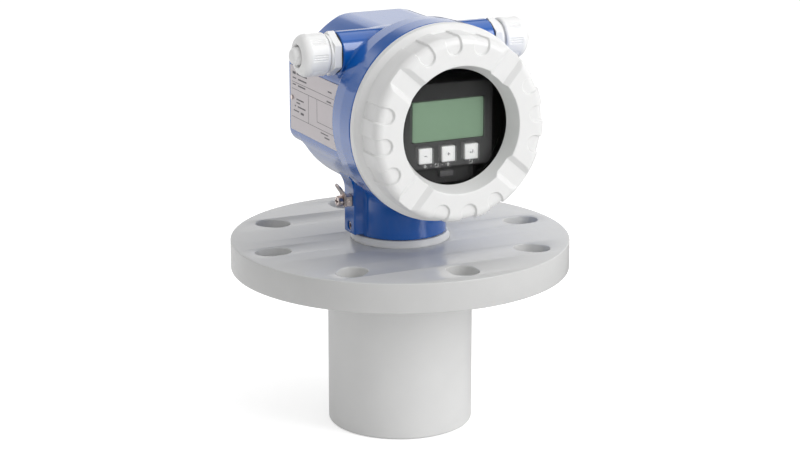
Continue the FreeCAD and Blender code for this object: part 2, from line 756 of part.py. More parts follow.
def build_display():
    carrier = head_body("display_carrier")
    outside = POT
    inside = f"{outside} - dim.carrier_wall"
    plate = "dim.carrier_plate"
    under = f"{plate} - dim.carrier_thickness"
    revolve(carrier, [
        (inside, "dim.pot_front"), (outside, "dim.pot_front"), (outside, plate), ("0", plate),
        ("0", under), (inside, under),
    ])
    lip_half = "dim.lip_half_width"
    lip_bottom = f"-{POT} + dim.lip_margin"
    lip_top = f"-{MODULE_BOTTOM} - dim.run_gap"
    lip = outline(sketch_on(carrier, "XY_Plane", f"{plate} - dim.carrier_thickness / 2"),
                  box_places(f"-{lip_half}", lip_half, lip_bottom, lip_top))
    extrude(carrier, lip, f"dim.lip_front - {plate} + dim.carrier_thickness / 2")

    latch = head_body("display_latch")
    half = "dim.latch_width / 2"
    rise = "dim.latch_height / 2"
    middle = f"{lip_bottom} + dim.latch_rise"
    tab = outline(sketch_on(latch, "XY_Plane", "dim.lip_front"),
                  box_places(f"-{half}", half, f"{middle} - {rise}", f"{middle} + {rise}"))
    extrude(latch, tab, "dim.latch_proud")

    module = head_body("display_housing")
    wide = f"({POT} - dim.module_side_margin)"
    drawn = outline(sketch_on(module, "XY_Plane", plate),
                    box_places(f"-{wide}", wide, f"-{MODULE_BOTTOM}", MODULE_TOP))
    extrude(module, drawn, f"dim.module_front - {plate}")
    round_edges(module, level_edge("dim.module_front"), "dim.module_edge")
    wall = "dim.module_wall"
    room = outline(sketch_on(module, "XY_Plane", plate),
                   box_places(f"-{wide} + {wall}", f"{wide} - {wall}", f"-{MODULE_BOTTOM} + {wall}",
                              f"{MODULE_TOP} - {wall}"))
    extrude(module, room, f"dim.module_front - {plate} - dim.module_face", cut=True, back=True)
    recess = outline(sketch_on(module, "XY_Plane", "dim.module_front"), pane_places("dim.fit_gap"))
    extrude(module, recess, "dim.pane_depth", cut=True)
    for k in (-1, 0, 1):
        well = outline(sketch_on(module, "XY_Plane", "dim.module_front"), key_places(k, "dim.run_gap"))
        extrude(module, well, "dim.key_pocket", cut=True)

    pane = head_body("lcd_pane")
    sheet_face = outline(sketch_on(pane, "XY_Plane", "dim.module_front - dim.pane_depth"), pane_places("0"))
    extrude(pane, sheet_face, "dim.pane_depth - dim.fit_gap")

    board = head_body("display_board")
    edge = f"{wall} + dim.fit_gap"
    back = "dim.module_front - dim.module_face - dim.board_thickness"
    card = outline(sketch_on(board, "XY_Plane", back),
                   box_places(f"-{wide} + {edge}", f"{wide} - ({edge})", f"-{MODULE_BOTTOM} + {edge}",
                              f"{MODULE_TOP} - ({edge})"))
    extrude(board, card, "dim.board_thickness")

    for k, name in zip((-1, 0, 1), KEY_NAMES):
        key = head_body(name)
        base = "dim.module_front - dim.key_pocket + dim.key_travel + dim.run_gap"
        cap = outline(sketch_on(key, "XY_Plane", base), key_places(k, "0"))
        extrude(key, cap, "dim.key_pocket - dim.key_travel - dim.run_gap + dim.key_proud")


def pane_places(gap):
    wide = f"dim.pane_half_width + {gap}"
    return box_places(f"-({wide})", wide, f"-dim.pane_bottom - {gap}", f"dim.pane_top + {gap}")


def key_places(k, gap):
    wide = f"(dim.key_width / 2 + {gap})"
    tall = f"(dim.key_height / 2 + {gap})"
    centre = f"{k} * dim.key_pitch"
    return box_places(f"{centre} - {wide}", f"{centre} + {wide}", f"-dim.key_drop - {tall}",
                      f"-dim.key_drop + {tall}")


def build_cover():
    body = head_body("cover_ring", "dim.cover_roll")
    male = f"({THREAD} - dim.joint_gap)"
    bore = f"{male} - dim.cover_wall"
    tail = "dim.joint_plane - dim.cover_spigot"
    groove = f"{male} - dim.cover_seal_wire - dim.run_gap"
    level = "dim.joint_plane - dim.cover_seal_back"
    half_groove = "(dim.cover_seal_wire / 2 + dim.run_gap)"
    rim = "(dim.thread_diameter + dim.rim_step) / 2"
    rim_front = "dim.joint_plane + dim.rim_width"
    grip = "(dim.thread_diameter + dim.grip_step) / 2"
    front = "dim.cover_front"
    seat = "dim.glass_seat / 2"
    window = "dim.window_front"
    behind = f"{window} - dim.gasket_thickness - dim.glass_thickness - dim.retainer_height"
    revolve(body, [
        (bore, tail), (male, tail), (male, f"{level} - {half_groove}"), (groove, f"{level} - {half_groove}"),
        (groove, f"{level} + {half_groove}"), (male, f"{level} + {half_groove}"), (male, "dim.joint_plane"),
        (rim, "dim.joint_plane"), (rim, rim_front), (grip, "dim.grip_back"), (grip, front),
        ("dim.lip_diameter / 2", front), ("dim.window_diameter / 2", window), (seat, window), (seat, behind),
        (bore, behind),
    ])
    round_edges(body, circle_edge(grip, front), "dim.grip_round")

    floor = f"{front} - dim.flute_depth"
    end = f"{grip} - dim.flute_reach + dim.flute_width / 2"
    out = "(dim.thread_diameter + dim.rim_step)"
    cuts = []
    for angle in FLUTE_ANGLES:
        section = sketch_on(body, "XZ_Plane", turn=(Y_AXIS, angle))
        flute_section(section, end, f"{grip} - dim.flute_depth", "dim.grip_back", floor, out)
        cuts.append(extrude(body, section, "dim.flute_width", cut=True, both=True))
        cap = sketch_on(body, "XY_Plane", front, turn=(Z_AXIS, angle))
        circle(cap, (end, "0"), "dim.flute_width / 2")
        cuts.append(extrude(body, cap, "dim.flute_depth", cut=True))
    wide = sketch_on(body, "YZ_Plane", turn=(Y_AXIS, GROOVE_ANGLE))
    half = "dim.groove_floor / 2"
    spread = f"({half} + 2 * dim.groove_slope)"
    bottom = f"{front} - dim.groove_depth"
    over = f"{front} + dim.groove_depth"
    outline(wide, [(f"-{half}", bottom), (half, bottom), (spread, over), (f"-{spread}", over)])
    cuts.append(extrude(body, wide, out, cut=True, back=True))
    repeat(body, cuts, QUARTERS)

    gasket = head_body("window_gasket")
    inner = "dim.window_diameter / 2 + dim.gasket_thickness"
    outer = f"{seat} - dim.fit_gap"
    under = f"{window} - dim.gasket_thickness"
    revolve(gasket, [(inner, under), (outer, under), (outer, window), (inner, window)])
    glass = head_body("window_glass")
    back = f"{under} - dim.glass_thickness"
    revolve(glass, [("0", back), (outer, back), (outer, under), ("0", under)])
    retainer = head_body("glass_retainer")
    hole = f"{outer} - dim.retainer_width"
    revolve(retainer, [(hole, behind), (outer, behind), (outer, back), (hole, back)])

    seal = head_body("cover_o_ring")
    seal_ring("cover_o_ring", seal, f"2 * ({groove} + dim.run_gap) + dim.cover_seal_wire",
              "dim.cover_seal_wire", level)


def flute_section(sketch, end, side, back, floor, out):
    """Radial section of one finger flute, with a round corner between side and face floors."""
    above = f"{floor} + dim.grip_round"
    corner = "(dim.grip_round - dim.flute_depth)"
    places = [(end, above), (end, floor), (f"{side} - {corner}", floor), (side, f"{floor} - {corner}"),
              (side, back), (out, back), (out, above)]
    count = len(places)
    for k, place in enumerate(places):
        begin = vector(place)
        finish = vector(places[(k + 1) % count])
        if k == 2:
            middle = FreeCAD.Vector(begin.x, finish.y, 0)
            away = ((begin + finish) * 0.5 - middle).normalize()
            sketch.addGeometry(Part.Arc(begin, middle + away * value(corner), finish))
        else:
            sketch.addGeometry(Part.LineSegment(begin, finish))
    arc = sketch.Geometry[2]
    flipped = arc.StartPoint.distanceToPoint(vector(places[2])) > TINY
    for k, place in enumerate(places):
        if k == 2:
            continue
        tie_point(sketch, k, 1, place)
    tie_point(sketch, 1, 2, places[2])
    for k in (0, 3, 4, 5, 6):
        sketch.addConstraint(Sketcher.Constraint("Coincident", k, 2, (k + 1) % count, 1))
    starts, ends = (2, 1) if flipped else (1, 2)
    sketch.addConstraint(Sketcher.Constraint("Coincident", 2, starts, 1, 2))
    sketch.addConstraint(Sketcher.Constraint("Coincident", 2, ends, 3, 1))
    held = sketch.addConstraint(Sketcher.Constraint("Radius", 2, value(corner)))
    sketch.setExpression(f"Constraints[{held}]", corner)


def build_gland(side, word):
    def piece(name):
        return side_body(f"{name}_{word}", side, BOSS_FACE, "dim.gland_forward", GLAND_HEIGHT)

    thread = "dim.gland_thread / 2"
    bore = "dim.gland_bore / 2"
    washer = piece("gland_washer")
    under = "dim.washer_thickness"
    rim = "dim.boss_diameter / 2 - dim.washer_thickness"
    loose = f"{thread} + dim.fit_gap / 2"
    revolve(washer, [(loose, "0"), (rim, "0"), (rim, under), (loose, under)])

    body = piece("gland_body")
    hex_top = f"{under} + dim.hex_height"
    tip = f"{hex_top} + dim.collet_height"
    seat = "dim.seat_diameter / 2"
    seat_floor = f"{hex_top} - dim.hex_height / 2"
    collet = "dim.collet_diameter / 2"
    corner = "dim.hex_flats / sqrt(3)"
    turns = [360 / HEX_SIDES * k for k in range(HEX_SIDES)]
    places = [(f"{corner} * cos({turn} deg)", f"{corner} * sin({turn} deg)") for turn in turns]
    hexagon = outline(sketch_on(body, "XY_Plane", under), places)
    extrude(body, hexagon, "dim.hex_height")
    core = f"{bore} / 2"
    inside_hex = f"{under} + dim.hex_height / 2"
    revolve(body, [
        (core, "-dim.shank_length"), (thread, "-dim.shank_length"), (thread, inside_hex), (core, inside_hex),
    ])
    revolve(body, [(core, inside_hex), (collet, inside_hex), (collet, tip), (core, tip)])
    revolve(body, [
        ("0", "-2 * dim.shank_length"), (bore, "-2 * dim.shank_length"), (bore, seat_floor),
        (seat, seat_floor), (seat, f"{tip} + dim.collet_height"), ("0", f"{tip} + dim.collet_height"),
    ], cut=True)

    nut_back = f"{hex_top} + dim.nut_gap"
    dome_back = f"{nut_back} + dim.nut_straight"
    nut_front = f"{dome_back} + dim.nut_dome"
    mouth = "dim.mouth_diameter / 2"
    seal_out = f"{seat} - dim.run_gap"
    plug = "dim.plug_diameter / 2"
    seal_top = f"{dome_back} - dim.nut_wall"
    seal = piece("gland_seal")
    revolve(seal, [
        (f"{plug} + dim.fit_gap / 2", f"{seat_floor} + dim.run_gap"), (seal_out, f"{seat_floor} + dim.run_gap"),
        (seal_out, f"{tip}"), (mouth, seal_top), (f"{plug} + dim.fit_gap / 2", seal_top),
    ])
    pin = piece("blind_plug")
    head = "dim.plug_head / 2"
    plug_end = f"{nut_front} + dim.plug_proud"
    revolve(pin, [
        ("0", f"{seat_floor} + dim.run_gap"), (plug, f"{seat_floor} + dim.run_gap"), (plug, seal_top),
        (head, seal_top), (head, plug_end), ("0", plug_end),
    ])
    round_edges(pin, circle_edge(head, plug_end), "dim.plug_round")

    nut = piece("gland_nut")
    outer = "dim.nut_diameter / 2"
    inner = f"{collet} + dim.joint_gap"
    roof = f"{tip} + dim.run_gap"
    lip = f"{mouth} + dim.run_gap"
    revolve(nut, [
        (inner, nut_back), (outer, nut_back), (outer, nut_front), (lip, nut_front),
        (lip, f"{seal_top} + dim.nut_wall / 2"), (f"{seal_out} + 2 * dim.run_gap", roof), (inner, roof),
    ])
    round_edges(nut, circle_edge(outer, nut_front), "dim.nut_round")
    rib = circle(sketch_on(nut, "XY_Plane", f"{dome_back} - dim.rib_margin"),
                 (f"{outer} + dim.rib_radius / 2", "0"), "dim.rib_radius")
    cut = extrude(nut, rib, "dim.nut_straight - 2 * dim.rib_margin", cut=True)
    repeat(nut, [cut], int(value("dim.rib_count")))


build_flange()
build_sensor()
build_transducer()
build_casting()
build_neck()
build_neck_fittings()
build_name_plate()
build_electronics()
build_display()
build_cover()
build_gland(-1, "left")
build_gland(1, "right")

doc.recompute()
for item in doc.Objects:
    if "Invalid" in item.State or "Error" in item.State:
        raise ValueError(f"{item.Label} did not build: {item.State}")
for node in nodes:
    if node.Shape.isNull() or not node.Shape.isValid():
        raise ValueError(f"{node.Label} has no valid shape")

os.makedirs("parts", exist_ok=True)
for node in nodes:
    node.Shape.exportStep(f"parts/{node.Label}.step")
print(f"{len(nodes)} pieces written")
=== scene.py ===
import json
import math

import bmesh
import bpy
import numpy as np
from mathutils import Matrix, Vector


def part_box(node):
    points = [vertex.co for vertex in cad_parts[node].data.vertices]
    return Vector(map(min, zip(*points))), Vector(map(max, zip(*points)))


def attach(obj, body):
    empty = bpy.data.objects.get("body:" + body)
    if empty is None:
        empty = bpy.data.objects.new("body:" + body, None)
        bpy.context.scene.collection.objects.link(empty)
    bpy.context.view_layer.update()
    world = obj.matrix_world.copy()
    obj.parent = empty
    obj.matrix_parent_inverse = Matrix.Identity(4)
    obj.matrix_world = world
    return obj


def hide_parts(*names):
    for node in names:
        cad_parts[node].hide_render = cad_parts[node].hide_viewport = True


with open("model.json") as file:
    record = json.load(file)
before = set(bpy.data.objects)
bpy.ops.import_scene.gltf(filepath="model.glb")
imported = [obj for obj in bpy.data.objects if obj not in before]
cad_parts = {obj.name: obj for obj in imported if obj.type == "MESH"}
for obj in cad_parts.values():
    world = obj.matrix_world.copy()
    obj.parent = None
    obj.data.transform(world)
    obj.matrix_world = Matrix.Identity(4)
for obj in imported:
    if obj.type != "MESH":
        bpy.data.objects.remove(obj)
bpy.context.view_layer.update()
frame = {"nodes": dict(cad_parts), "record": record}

# Looks of the ultrasonic level transmitter. Lengths are millimetres, turned to metres by new_piece.
MM = 0.001
SMOOTH_ANGLE = math.radians(32)
WELD_REACH = 0.001 * MM
TINY = 1e-9


def box_mm(node):
    low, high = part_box(node)
    return np.array(low) / MM, np.array(high) / MM


# Places and sizes read from the solids
FLANGE_LOW, FLANGE_HIGH = box_mm("process_flange")
TUBE_LOW, TUBE_HIGH = box_mm("sensor_tube")
COLLAR_LOW, COLLAR_HIGH = box_mm("lock_collar")
CASTING_LOW, CASTING_HIGH = box_mm("housing_casting")
REAR_LOW, REAR_HIGH = box_mm("housing_rear")
NECK_LOW, NECK_HIGH = box_mm("housing_neck")
MODULE_LOW, MODULE_HIGH = box_mm("display_housing")
PLATE_LOW, PLATE_HIGH = box_mm("name_plate")
NUT_LOW, NUT_HIGH = box_mm("gland_nut_right")
HEX_LOW, HEX_HIGH = box_mm("gland_body_right")
AXIS_Z = sum(box_mm("window_glass"))[2] / 2
GLAND_Y, GLAND_Z = (NUT_LOW + NUT_HIGH)[1:] / 2
BOSS_REACH = box_mm("gland_washer_right")[0][0]
FLANGE_RADIUS = FLANGE_HIGH[0]
TUBE_RADIUS = 49.0
COLLAR_RADIUS = COLLAR_HIGH[0]

# Edge radii that many mouldings share
EDGE_FINE = 0.3
EDGE_SMALL = 0.4
EDGE_SOFT = 0.5
EDGE_WIDE = 0.8


def head_frame(points):
    """Cover-axis coordinates (right, up, out of the display) to the row frame."""
    x, y, z = np.asarray(points, float).T
    return np.stack([x, -z, AXIS_Z + y], 1)


def gland_frame(side):
    """Coordinates whose Z runs outward from a gland boss to the row frame."""

    def place(points):
        x, y, z = np.asarray(points, float).T
        return np.stack([side * (BOSS_REACH + z), GLAND_Y + y, GLAND_Z - side * x], 1)

    return place


def row_frame(points):
    return np.asarray(points, float)


# Mesh tools


def show(thing):
    bpy.context.scene.collection.objects.link(thing)


def new_piece(name, points, faces, body, slot, paint, replaces=(), normals=None):
    """Object in the row frame from points in millimetres; it rides on a body."""
    mesh = bpy.data.meshes.new(name)
    mesh.from_pydata((np.asarray(points) * MM).tolist(), [], [list(map(int, face)) for face in faces])
    mesh.polygons.foreach_set("use_smooth", [True] * len(mesh.polygons))
    if normals is not None:
        mesh.normals_split_custom_set_from_vertices(normals.tolist())
    mesh.update()
    mesh.materials.append(paint)
    piece = bpy.data.objects.new(name, mesh)
    show(piece)
    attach(piece, body)
    if replaces:
        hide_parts(*replaces)
    return piece


def weld(piece, smooth=SMOOTH_ANGLE):
    """Joins points that coincide, such as those on a turning axis, and faces every wall outward."""
    work = bmesh.new()
    work.from_mesh(piece.data)
    bmesh.ops.remove_doubles(work, verts=work.verts, dist=WELD_REACH)
    bmesh.ops.dissolve_degenerate(work, edges=work.edges, dist=WELD_REACH)
    bmesh.ops.recalc_face_normals(work, faces=work.faces)
    work.to_mesh(piece.data)
    work.free()
    piece.data.polygons.foreach_set("use_smooth", [True] * len(piece.data.polygons))
    piece.data.set_sharp_from_angle(angle=smooth)
    return piece


def unit(vector):
    return vector / np.linalg.norm(vector)


def rounded(corners, steps=5):
    """Closed outline through (a, b, radius) corners, each corner rounded by its radius."""
    path = []
    count = len(corners)
    for k, (a, b, radius) in enumerate(corners):
        here = np.array((a, b), float)
        if radius <= 0:
            path.append(here)
            continue
        before = unit(np.array(corners[k - 1][:2]) - here)
        after = unit(np.array(corners[(k + 1) % count][:2]) - here)
        half = math.acos(np.clip(before @ after, -1, 1)) / 2
        start = here + before * radius / math.tan(half)
        end = here + after * radius / math.tan(half)
        centre = here + unit(before + after) * radius / math.sin(half)
        first = math.atan2(*(start - centre)[::-1])
        sweep = math.atan2(*(end - centre)[::-1]) - first
        sweep = (sweep + math.pi) % (2 * math.pi) - math.pi
        for t in np.linspace(0, 1, steps + 1):
            angle = first + sweep * t
            path.append(centre + radius * np.array((math.cos(angle), math.sin(angle))))
    return np.array(path)


def grid_faces(rows, columns):
    """Quads of a grid of points that closes on itself both ways."""
    faces = []
    for row in range(rows):
        here = row * columns
        there = (row + 1) % rows * columns
        for column in range(columns):
            beyond = (column + 1) % columns
            faces.append((here + column, there + column, there + beyond, here + beyond))
    return faces


def turned(profile, segments, carve=None):
    """Points and faces of a closed (radius, height) profile turned about Z; carve may reshape them."""
    profile = np.asarray(profile, float)
    angle = np.linspace(0, 2 * math.pi, segments, endpoint=False)[:, None]
    radius = np.broadcast_to(profile[:, 0], (segments, len(profile)))
    height = np.broadcast_to(profile[:, 1], (segments, len(profile)))
    if carve:
        radius, height = carve(angle, radius, height)
    points = np.stack([radius * np.cos(angle), radius * np.sin(angle), height], -1).reshape(-1, 3)
    return points, grid_faces(segments, len(profile))


def turned_piece(name, corners, place, segments, carve=None, steps=5, smooth=SMOOTH_ANGLE, **look):
    points, faces = turned(rounded(corners, steps), segments, carve)
    return weld(new_piece(name, place(points), faces, **look), smooth)


def raised(name, shapes, level, proud, place, **look):
    """Thin raised print: each shape is an outline on the plane at the given level."""
    points = []
    faces = []
    for shape in shapes:
        first = len(points)
        count = len(shape)
        points += [(a, b, level) for a, b in shape] + [(a, b, level + proud) for a, b in shape]
        faces.append(tuple(first + count + k for k in range(count)))
        faces.append(tuple(first + count - 1 - k for k in range(count)))
        for k in range(count):
            after = (k + 1) % count
            faces.append((first + k, first + after, first + count + after, first + count + k))
    return weld(new_piece(name, place(points), faces, **look))


def ramp(value, width):
    """0 where value is well below zero, 1 well above, with a soft step of the given width."""
    t = np.clip(value / width + 0.5, 0, 1)
    return t * t * (3 - 2 * t)


# Blended solids: distance fields meshed by surface nets


def fillet_union(a, b, size):
    blend = np.maximum(size - np.abs(a - b), 0) / size
    return np.minimum(a, b) - blend * blend * size / 4


def fillet_cut(a, b, size):
    return -fillet_union(-a, b, size)


def slab(value, low, high):
    return np.abs(value - (low + high) / 2) - (high - low) / 2


def round_meet(a, b, edge):
    """Both of two fields, with the outer corner between them rounded by edge."""
    inner = np.minimum(np.maximum(a + edge, b + edge), 0)
    return inner + np.hypot(np.maximum(a + edge, 0), np.maximum(b + edge, 0)) - edge


def block_field(p, low, high, edge):
    away = [slab(p[:, k], low[k], high[k]) + edge for k in range(3)]
    outside = np.sqrt(sum(np.maximum(a, 0) ** 2 for a in away))
    return outside + np.minimum(np.maximum(np.maximum(away[0], away[1]), away[2]), 0) - edge


def rod_field(p, axis, centre, radius, low, high, edge):
    """Round bar along an axis (0, 1 or 2); centre gives its place on the other two."""
    a, b = [k for k in range(3) if k != axis]
    across = np.hypot(p[:, a] - centre[0], p[:, b] - centre[1]) - radius
    return round_meet(across, slab(p[:, axis], low, high), edge)


CELL_CORNERS = [(i, j, k) for i in (0, 1) for j in (0, 1) for k in (0, 1)]
CELL_EDGES = [
    (a, b) for a in range(8) for b in range(a + 1, 8)
    if sum(abs(m - n) for m, n in zip(CELL_CORNERS[a], CELL_CORNERS[b])) == 1
]


SETTLE_PASSES = 4
SETTLE_SHARE = 20
NORMAL_SHARE = 6
LEAST_SLOPE = 0.1


def slope(field, points, reach):
    """Gradient of a field by central differences."""
    steps = np.eye(3) * reach
    return np.stack([(field(points + s) - field(points - s)) / (2 * reach) for s in steps], 1)


def field_mesh(field, low, high, step):
    """Points, quads and normals of the zero level of a field inside a box, each point settled onto it."""
    axes = [np.arange(a - step, b + 2 * step, step) for a, b in zip(low, high)]
    shape = tuple(len(axis) for axis in axes)
    grid = np.stack(np.meshgrid(*axes, indexing="ij"), -1)
    values = field(grid.reshape(-1, 3)).reshape(shape)
    cells = tuple(n - 1 for n in shape)
    corner = [
        values[i:i + cells[0], j:j + cells[1], k:k + cells[2]] for i, j, k in CELL_CORNERS
    ]
    total = np.zeros(cells + (3,))
    hits = np.zeros(cells)
    for a, b in CELL_EDGES:
        crossed = (corner[a] < 0) != (corner[b] < 0)
        part = np.where(crossed, corner[a] / np.where(crossed, corner[a] - corner[b], 1), 0)
        start = np.array(CELL_CORNERS[a], float)
        run = np.array(CELL_CORNERS[b], float) - start
        total += crossed[..., None] * (start + part[..., None] * run)
        hits += crossed
    active = hits > 0
    index = np.full(cells, -1)
    index[active] = np.arange(active.sum())
    where = np.argwhere(active)
    origin = np.array([axis[0] for axis in axes])
    points = origin + (where + total[active] / hits[active][:, None]) * step
    faces = []
    for axis in range(3):
        a, b = [k for k in range(3) if k != axis]
        first = values.take(range(cells[axis]), axis)
        second = values.take(range(1, shape[axis]), axis)
        inward = first < 0
        for i, j, k in np.argwhere(inward != (second < 0)):
            spot = [i, j, k]
            if min(spot[a], spot[b]) < 1 or spot[a] >= cells[a] or spot[b] >= cells[b]:
                continue
            ring = []
            for da, db in ((-1, -1), (0, -1), (0, 0), (-1, 0)):
                cell = list(spot)
                cell[a] += da
                cell[b] += db
                ring.append(index[tuple(cell)])
            outward = inward[i, j, k] == (axis != 1)
            faces.append(ring if outward else ring[::-1])
    for _ in range(SETTLE_PASSES):
        gradient = slope(field, points, step / SETTLE_SHARE)
        size = np.maximum((gradient ** 2).sum(1), LEAST_SLOPE)
        move = -field(points)[:, None] * gradient / size[:, None]
        points = points + np.clip(move, -step / 2, step / 2)
    normals = slope(field, points, step / NORMAL_SHARE)
    normals /= np.maximum(np.linalg.norm(normals, axis=1), TINY)[:, None]
    return points, faces, normals


def field_piece(name, field, low, high, step, place, **look):
    points, faces, normals = field_mesh(field, low, high, step)
    seated = place(points)
    facing = place(points + normals) - seated
    return new_piece(name, seated, faces, normals=facing, **look)


# Materials


def shader_tree(owner):
    """Node tree of a material or world."""
    owner.use_nodes = True
    return owner.node_tree


def plug(tree, socket, value):
    """Links an output to an input, or sets the input to a plain value."""
    if isinstance(value, bpy.types.NodeSocket):
        tree.links.new(value, socket)
    else:
        socket.default_value = value


def feed(tree, node, **settings):
    """Fills inputs of a node; an underscore stands for a space in a name."""
    for name, value in settings.items():
        plug(tree, node.inputs[name.replace("_", " ")], value)
    return node.outputs


def added(tree, kind, **settings):
    """Outputs of a new node."""
    return feed(tree, tree.nodes.new("ShaderNode" + kind), **settings)


def between(tree, value, ends, results):
    """Value mapped from one pair of ends to another and held there."""
    return added(tree, "MapRange", Value=value, From_Min=ends[0], From_Max=ends[1], To_Min=results[0],
                 To_Max=results[1])["Result"]


def split(tree, vector):
    """X, Y and Z of a vector."""
    return added(tree, "SeparateXYZ", Vector=vector)


def noise(tree, place, size, detail):
    """Pattern of soft patches; size is millimetres."""
    return added(tree, "TexNoise", Vector=place, Scale=1 / (size * MM), Detail=detail)["Fac"]


def emboss(tree, height, strength, depth):
    """Fine relief from a pattern; depth is millimetres."""
    bump = added(tree, "Bump", Height=height, Strength=strength, Distance=depth * MM)
    feed(tree, tree.nodes["Principled BSDF"], Normal=bump["Normal"])


LEAST_ROUGHNESS = 0.01
STREAK = 0.4
STREAK_STRETCH = 0.06
STREAK_RELIEF = 0.01
STREAK_STRENGTH = 0.5
RELIEF_STRENGTH = 0.6


def surface(name, colour, roughness, patch=6.0, tint=0.04, rough_range=0.04, grain=0.25, relief=0.02,
            **sockets):
    """Principled surface with soft patches of tone and a fine relief; patch and grain are millimetres."""
    made = bpy.data.materials.new(name)
    tree = shader_tree(made)
    place = added(tree, "TexCoord")["Object"]
    broad = noise(tree, place, patch, detail=3)
    tone = tree.nodes.new("ShaderNodeMix")
    tone.data_type = "RGBA"
    dark = tuple(c * (1 - tint) for c in colour) + (1,)
    pale = tuple(min(c * (1 + tint), 1) for c in colour) + (1,)
    mixed = feed(tree, tone, Factor=broad, A=dark, B=pale)["Result"]
    smoothest = max(roughness - rough_range, LEAST_ROUGHNESS)
    gloss = between(tree, broad, (0.0, 1.0), (smoothest, roughness + rough_range))
    feed(tree, tree.nodes["Principled BSDF"], Base_Color=mixed, Roughness=gloss, **sockets)
    if relief:
        emboss(tree, noise(tree, place, grain, detail=2), RELIEF_STRENGTH, relief)
    return made


def brushed(name, colour, roughness, along):
    """Metal with fine streaks along one axis."""
    made = surface(name, colour, roughness, patch=3.0, tint=0.1, rough_range=0.08, relief=0, Metallic=1.0)
    tree = shader_tree(made)
    scale = tuple(STREAK_STRETCH if k == along else 1 for k in range(3))
    place = tree.nodes["Texture Coordinate"].outputs["Object"]
    drawn = added(tree, "Mapping", Vector=place, Scale=scale)["Vector"]
    emboss(tree, noise(tree, drawn, STREAK, detail=2), STREAK_STRENGTH, STREAK_RELIEF)
    return made


DARK_GRAIN = dict(patch=4, tint=0.1, grain=0.35, relief=0.012, Specular_IOR_Level=0.2)


def painted_height_shading(name, levels, tones, roughness):
    """Dark plastic whose tone goes from the first value to the second between two heights (mm): painted light
    and shade by height.
    """
    made = surface(name, (1, 1, 1), roughness, **DARK_GRAIN)
    tree = shader_tree(made)
    place = added(tree, "NewGeometry")["Position"]
    heights = tuple(level * MM for level in levels)
    tone = between(tree, split(tree, place)["Z"], heights, tones)
    feed(tree, tree.nodes["Principled BSDF"], Base_Color=tone)
    return made


# Paint of each material slot: colour, roughness and what surface takes besides
PAINT_TABLE = {
    "grey_plastic": ((0.60, 0.60, 0.595), 0.2, dict(
        patch=14, tint=0.03, rough_range=0.03, grain=0.6, relief=0.001, Specular_IOR_Level=0.33)),
    "sensor_plastic": ((0.73, 0.73, 0.725), 0.36, dict(patch=18, tint=0.03, grain=0.5, relief=0.006)),
    "blue_enamel": ((0.004, 0.105, 0.44), 0.14, dict(
        patch=9, tint=0.05, grain=1.6, relief=0.008, Coat_Weight=0.6, Coat_Roughness=0.075)),
    "white_enamel": ((0.79, 0.79, 0.785), 0.3, dict(patch=8, tint=0.015, grain=1.2, relief=0.008)),
    "white_plastic": ((0.88, 0.88, 0.875), 0.3, dict(patch=5, tint=0.02, grain=0.5, relief=0.006)),
    "seal_rubber": ((0.02, 0.02, 0.02), 0.6, dict(patch=3, tint=0.15)),
    "label_foil": ((0.60, 0.555, 0.57), 0.32, dict(
        patch=7, tint=0.03, grain=0.3, relief=0.003, Metallic=0.15)),
    "dark_plastic": ((0.042, 0.042, 0.044), 0.45, DARK_GRAIN),
    "lcd_green": ((0.21, 0.325, 0.218), 0.3, dict(patch=12, tint=0.03, relief=0)),
    "key_plastic": ((0.88, 0.88, 0.875), 0.45, dict(patch=3, tint=0.02, grain=0.3, relief=0.006)),
    "black_plastic": ((0.006, 0.006, 0.006), 0.5, dict(patch=4, tint=0.1, Specular_IOR_Level=0.1)),
    "green_plastic": ((0.05, 0.22, 0.08), 0.4, dict(patch=4, tint=0.06)),
    "circuit_board": ((0.015, 0.13, 0.05), 0.35, dict(patch=2.5, tint=0.35, relief=0)),
    "piezo_ceramic": ((0.62, 0.54, 0.38), 0.6, dict(patch=3, tint=0.06)),
    "epoxy": ((0.28, 0.23, 0.14), 0.35, dict(patch=6, tint=0.1)),
    "foam": ((0.07, 0.07, 0.075), 0.9, dict(patch=1.2, tint=0.4, grain=0.9, relief=0.15)),
    "lead_jacket": ((0.03, 0.03, 0.03), 0.5, dict(patch=3, tint=0.1)),
    "clear_glass": ((0.96, 0.98, 0.97), 0.02, dict(
        patch=20, tint=0.01, rough_range=0.01, relief=0, Transmission_Weight=1.0, IOR=1.46, Alpha=0.12)),
}
PAINTS = {slot: surface(slot, colour, gloss, **rest) for slot, (colour, gloss, rest) in PAINT_TABLE.items()}
PAINTS["steel"] = brushed("steel", (0.70, 0.61, 0.58), 0.3, 2)
INK = surface("label_ink", (0.11, 0.105, 0.115), 0.5, patch=1.5, tint=0.2, relief=0)
# The latch is a lighter grey than the other dark plastic: partly its own grey, partly painted light, as the
# bottom of the window is lit more.
LATCH_GREY = surface("latch_plastic", (0.11, 0.11, 0.112), 0.4, patch=3, tint=0.08, grain=0.35, relief=0.008)
PALE_INK = surface("panel_ink", (0.55, 0.55, 0.55), 0.5, patch=1.5, tint=0.1, relief=0)

MODULE_TOP = 27.4
MODULE_BOTTOM = -28.2
CARRIER_FADE = 2
# Painted light and shade: the display case is lighter at its bottom and darker at its top, where the cover's
# lip shades it.
MODULE_PAINTED_SHADING = painted_height_shading("module_painted_shading", (AXIS_Z + MODULE_BOTTOM, AXIS_Z + MODULE_TOP), (0.085, 0.026), 0.45)
# Painted shade: the carrier is nearly black above the case's bottom edge, where the inside lies in shadow,
# and lighter below it as painted light.
CARRIER_PAINTED_SHADING = painted_height_shading("carrier_painted_shading", (AXIS_Z + MODULE_BOTTOM - CARRIER_FADE, AXIS_Z + MODULE_BOTTOM),
                      (0.05, 0.006), 0.5)


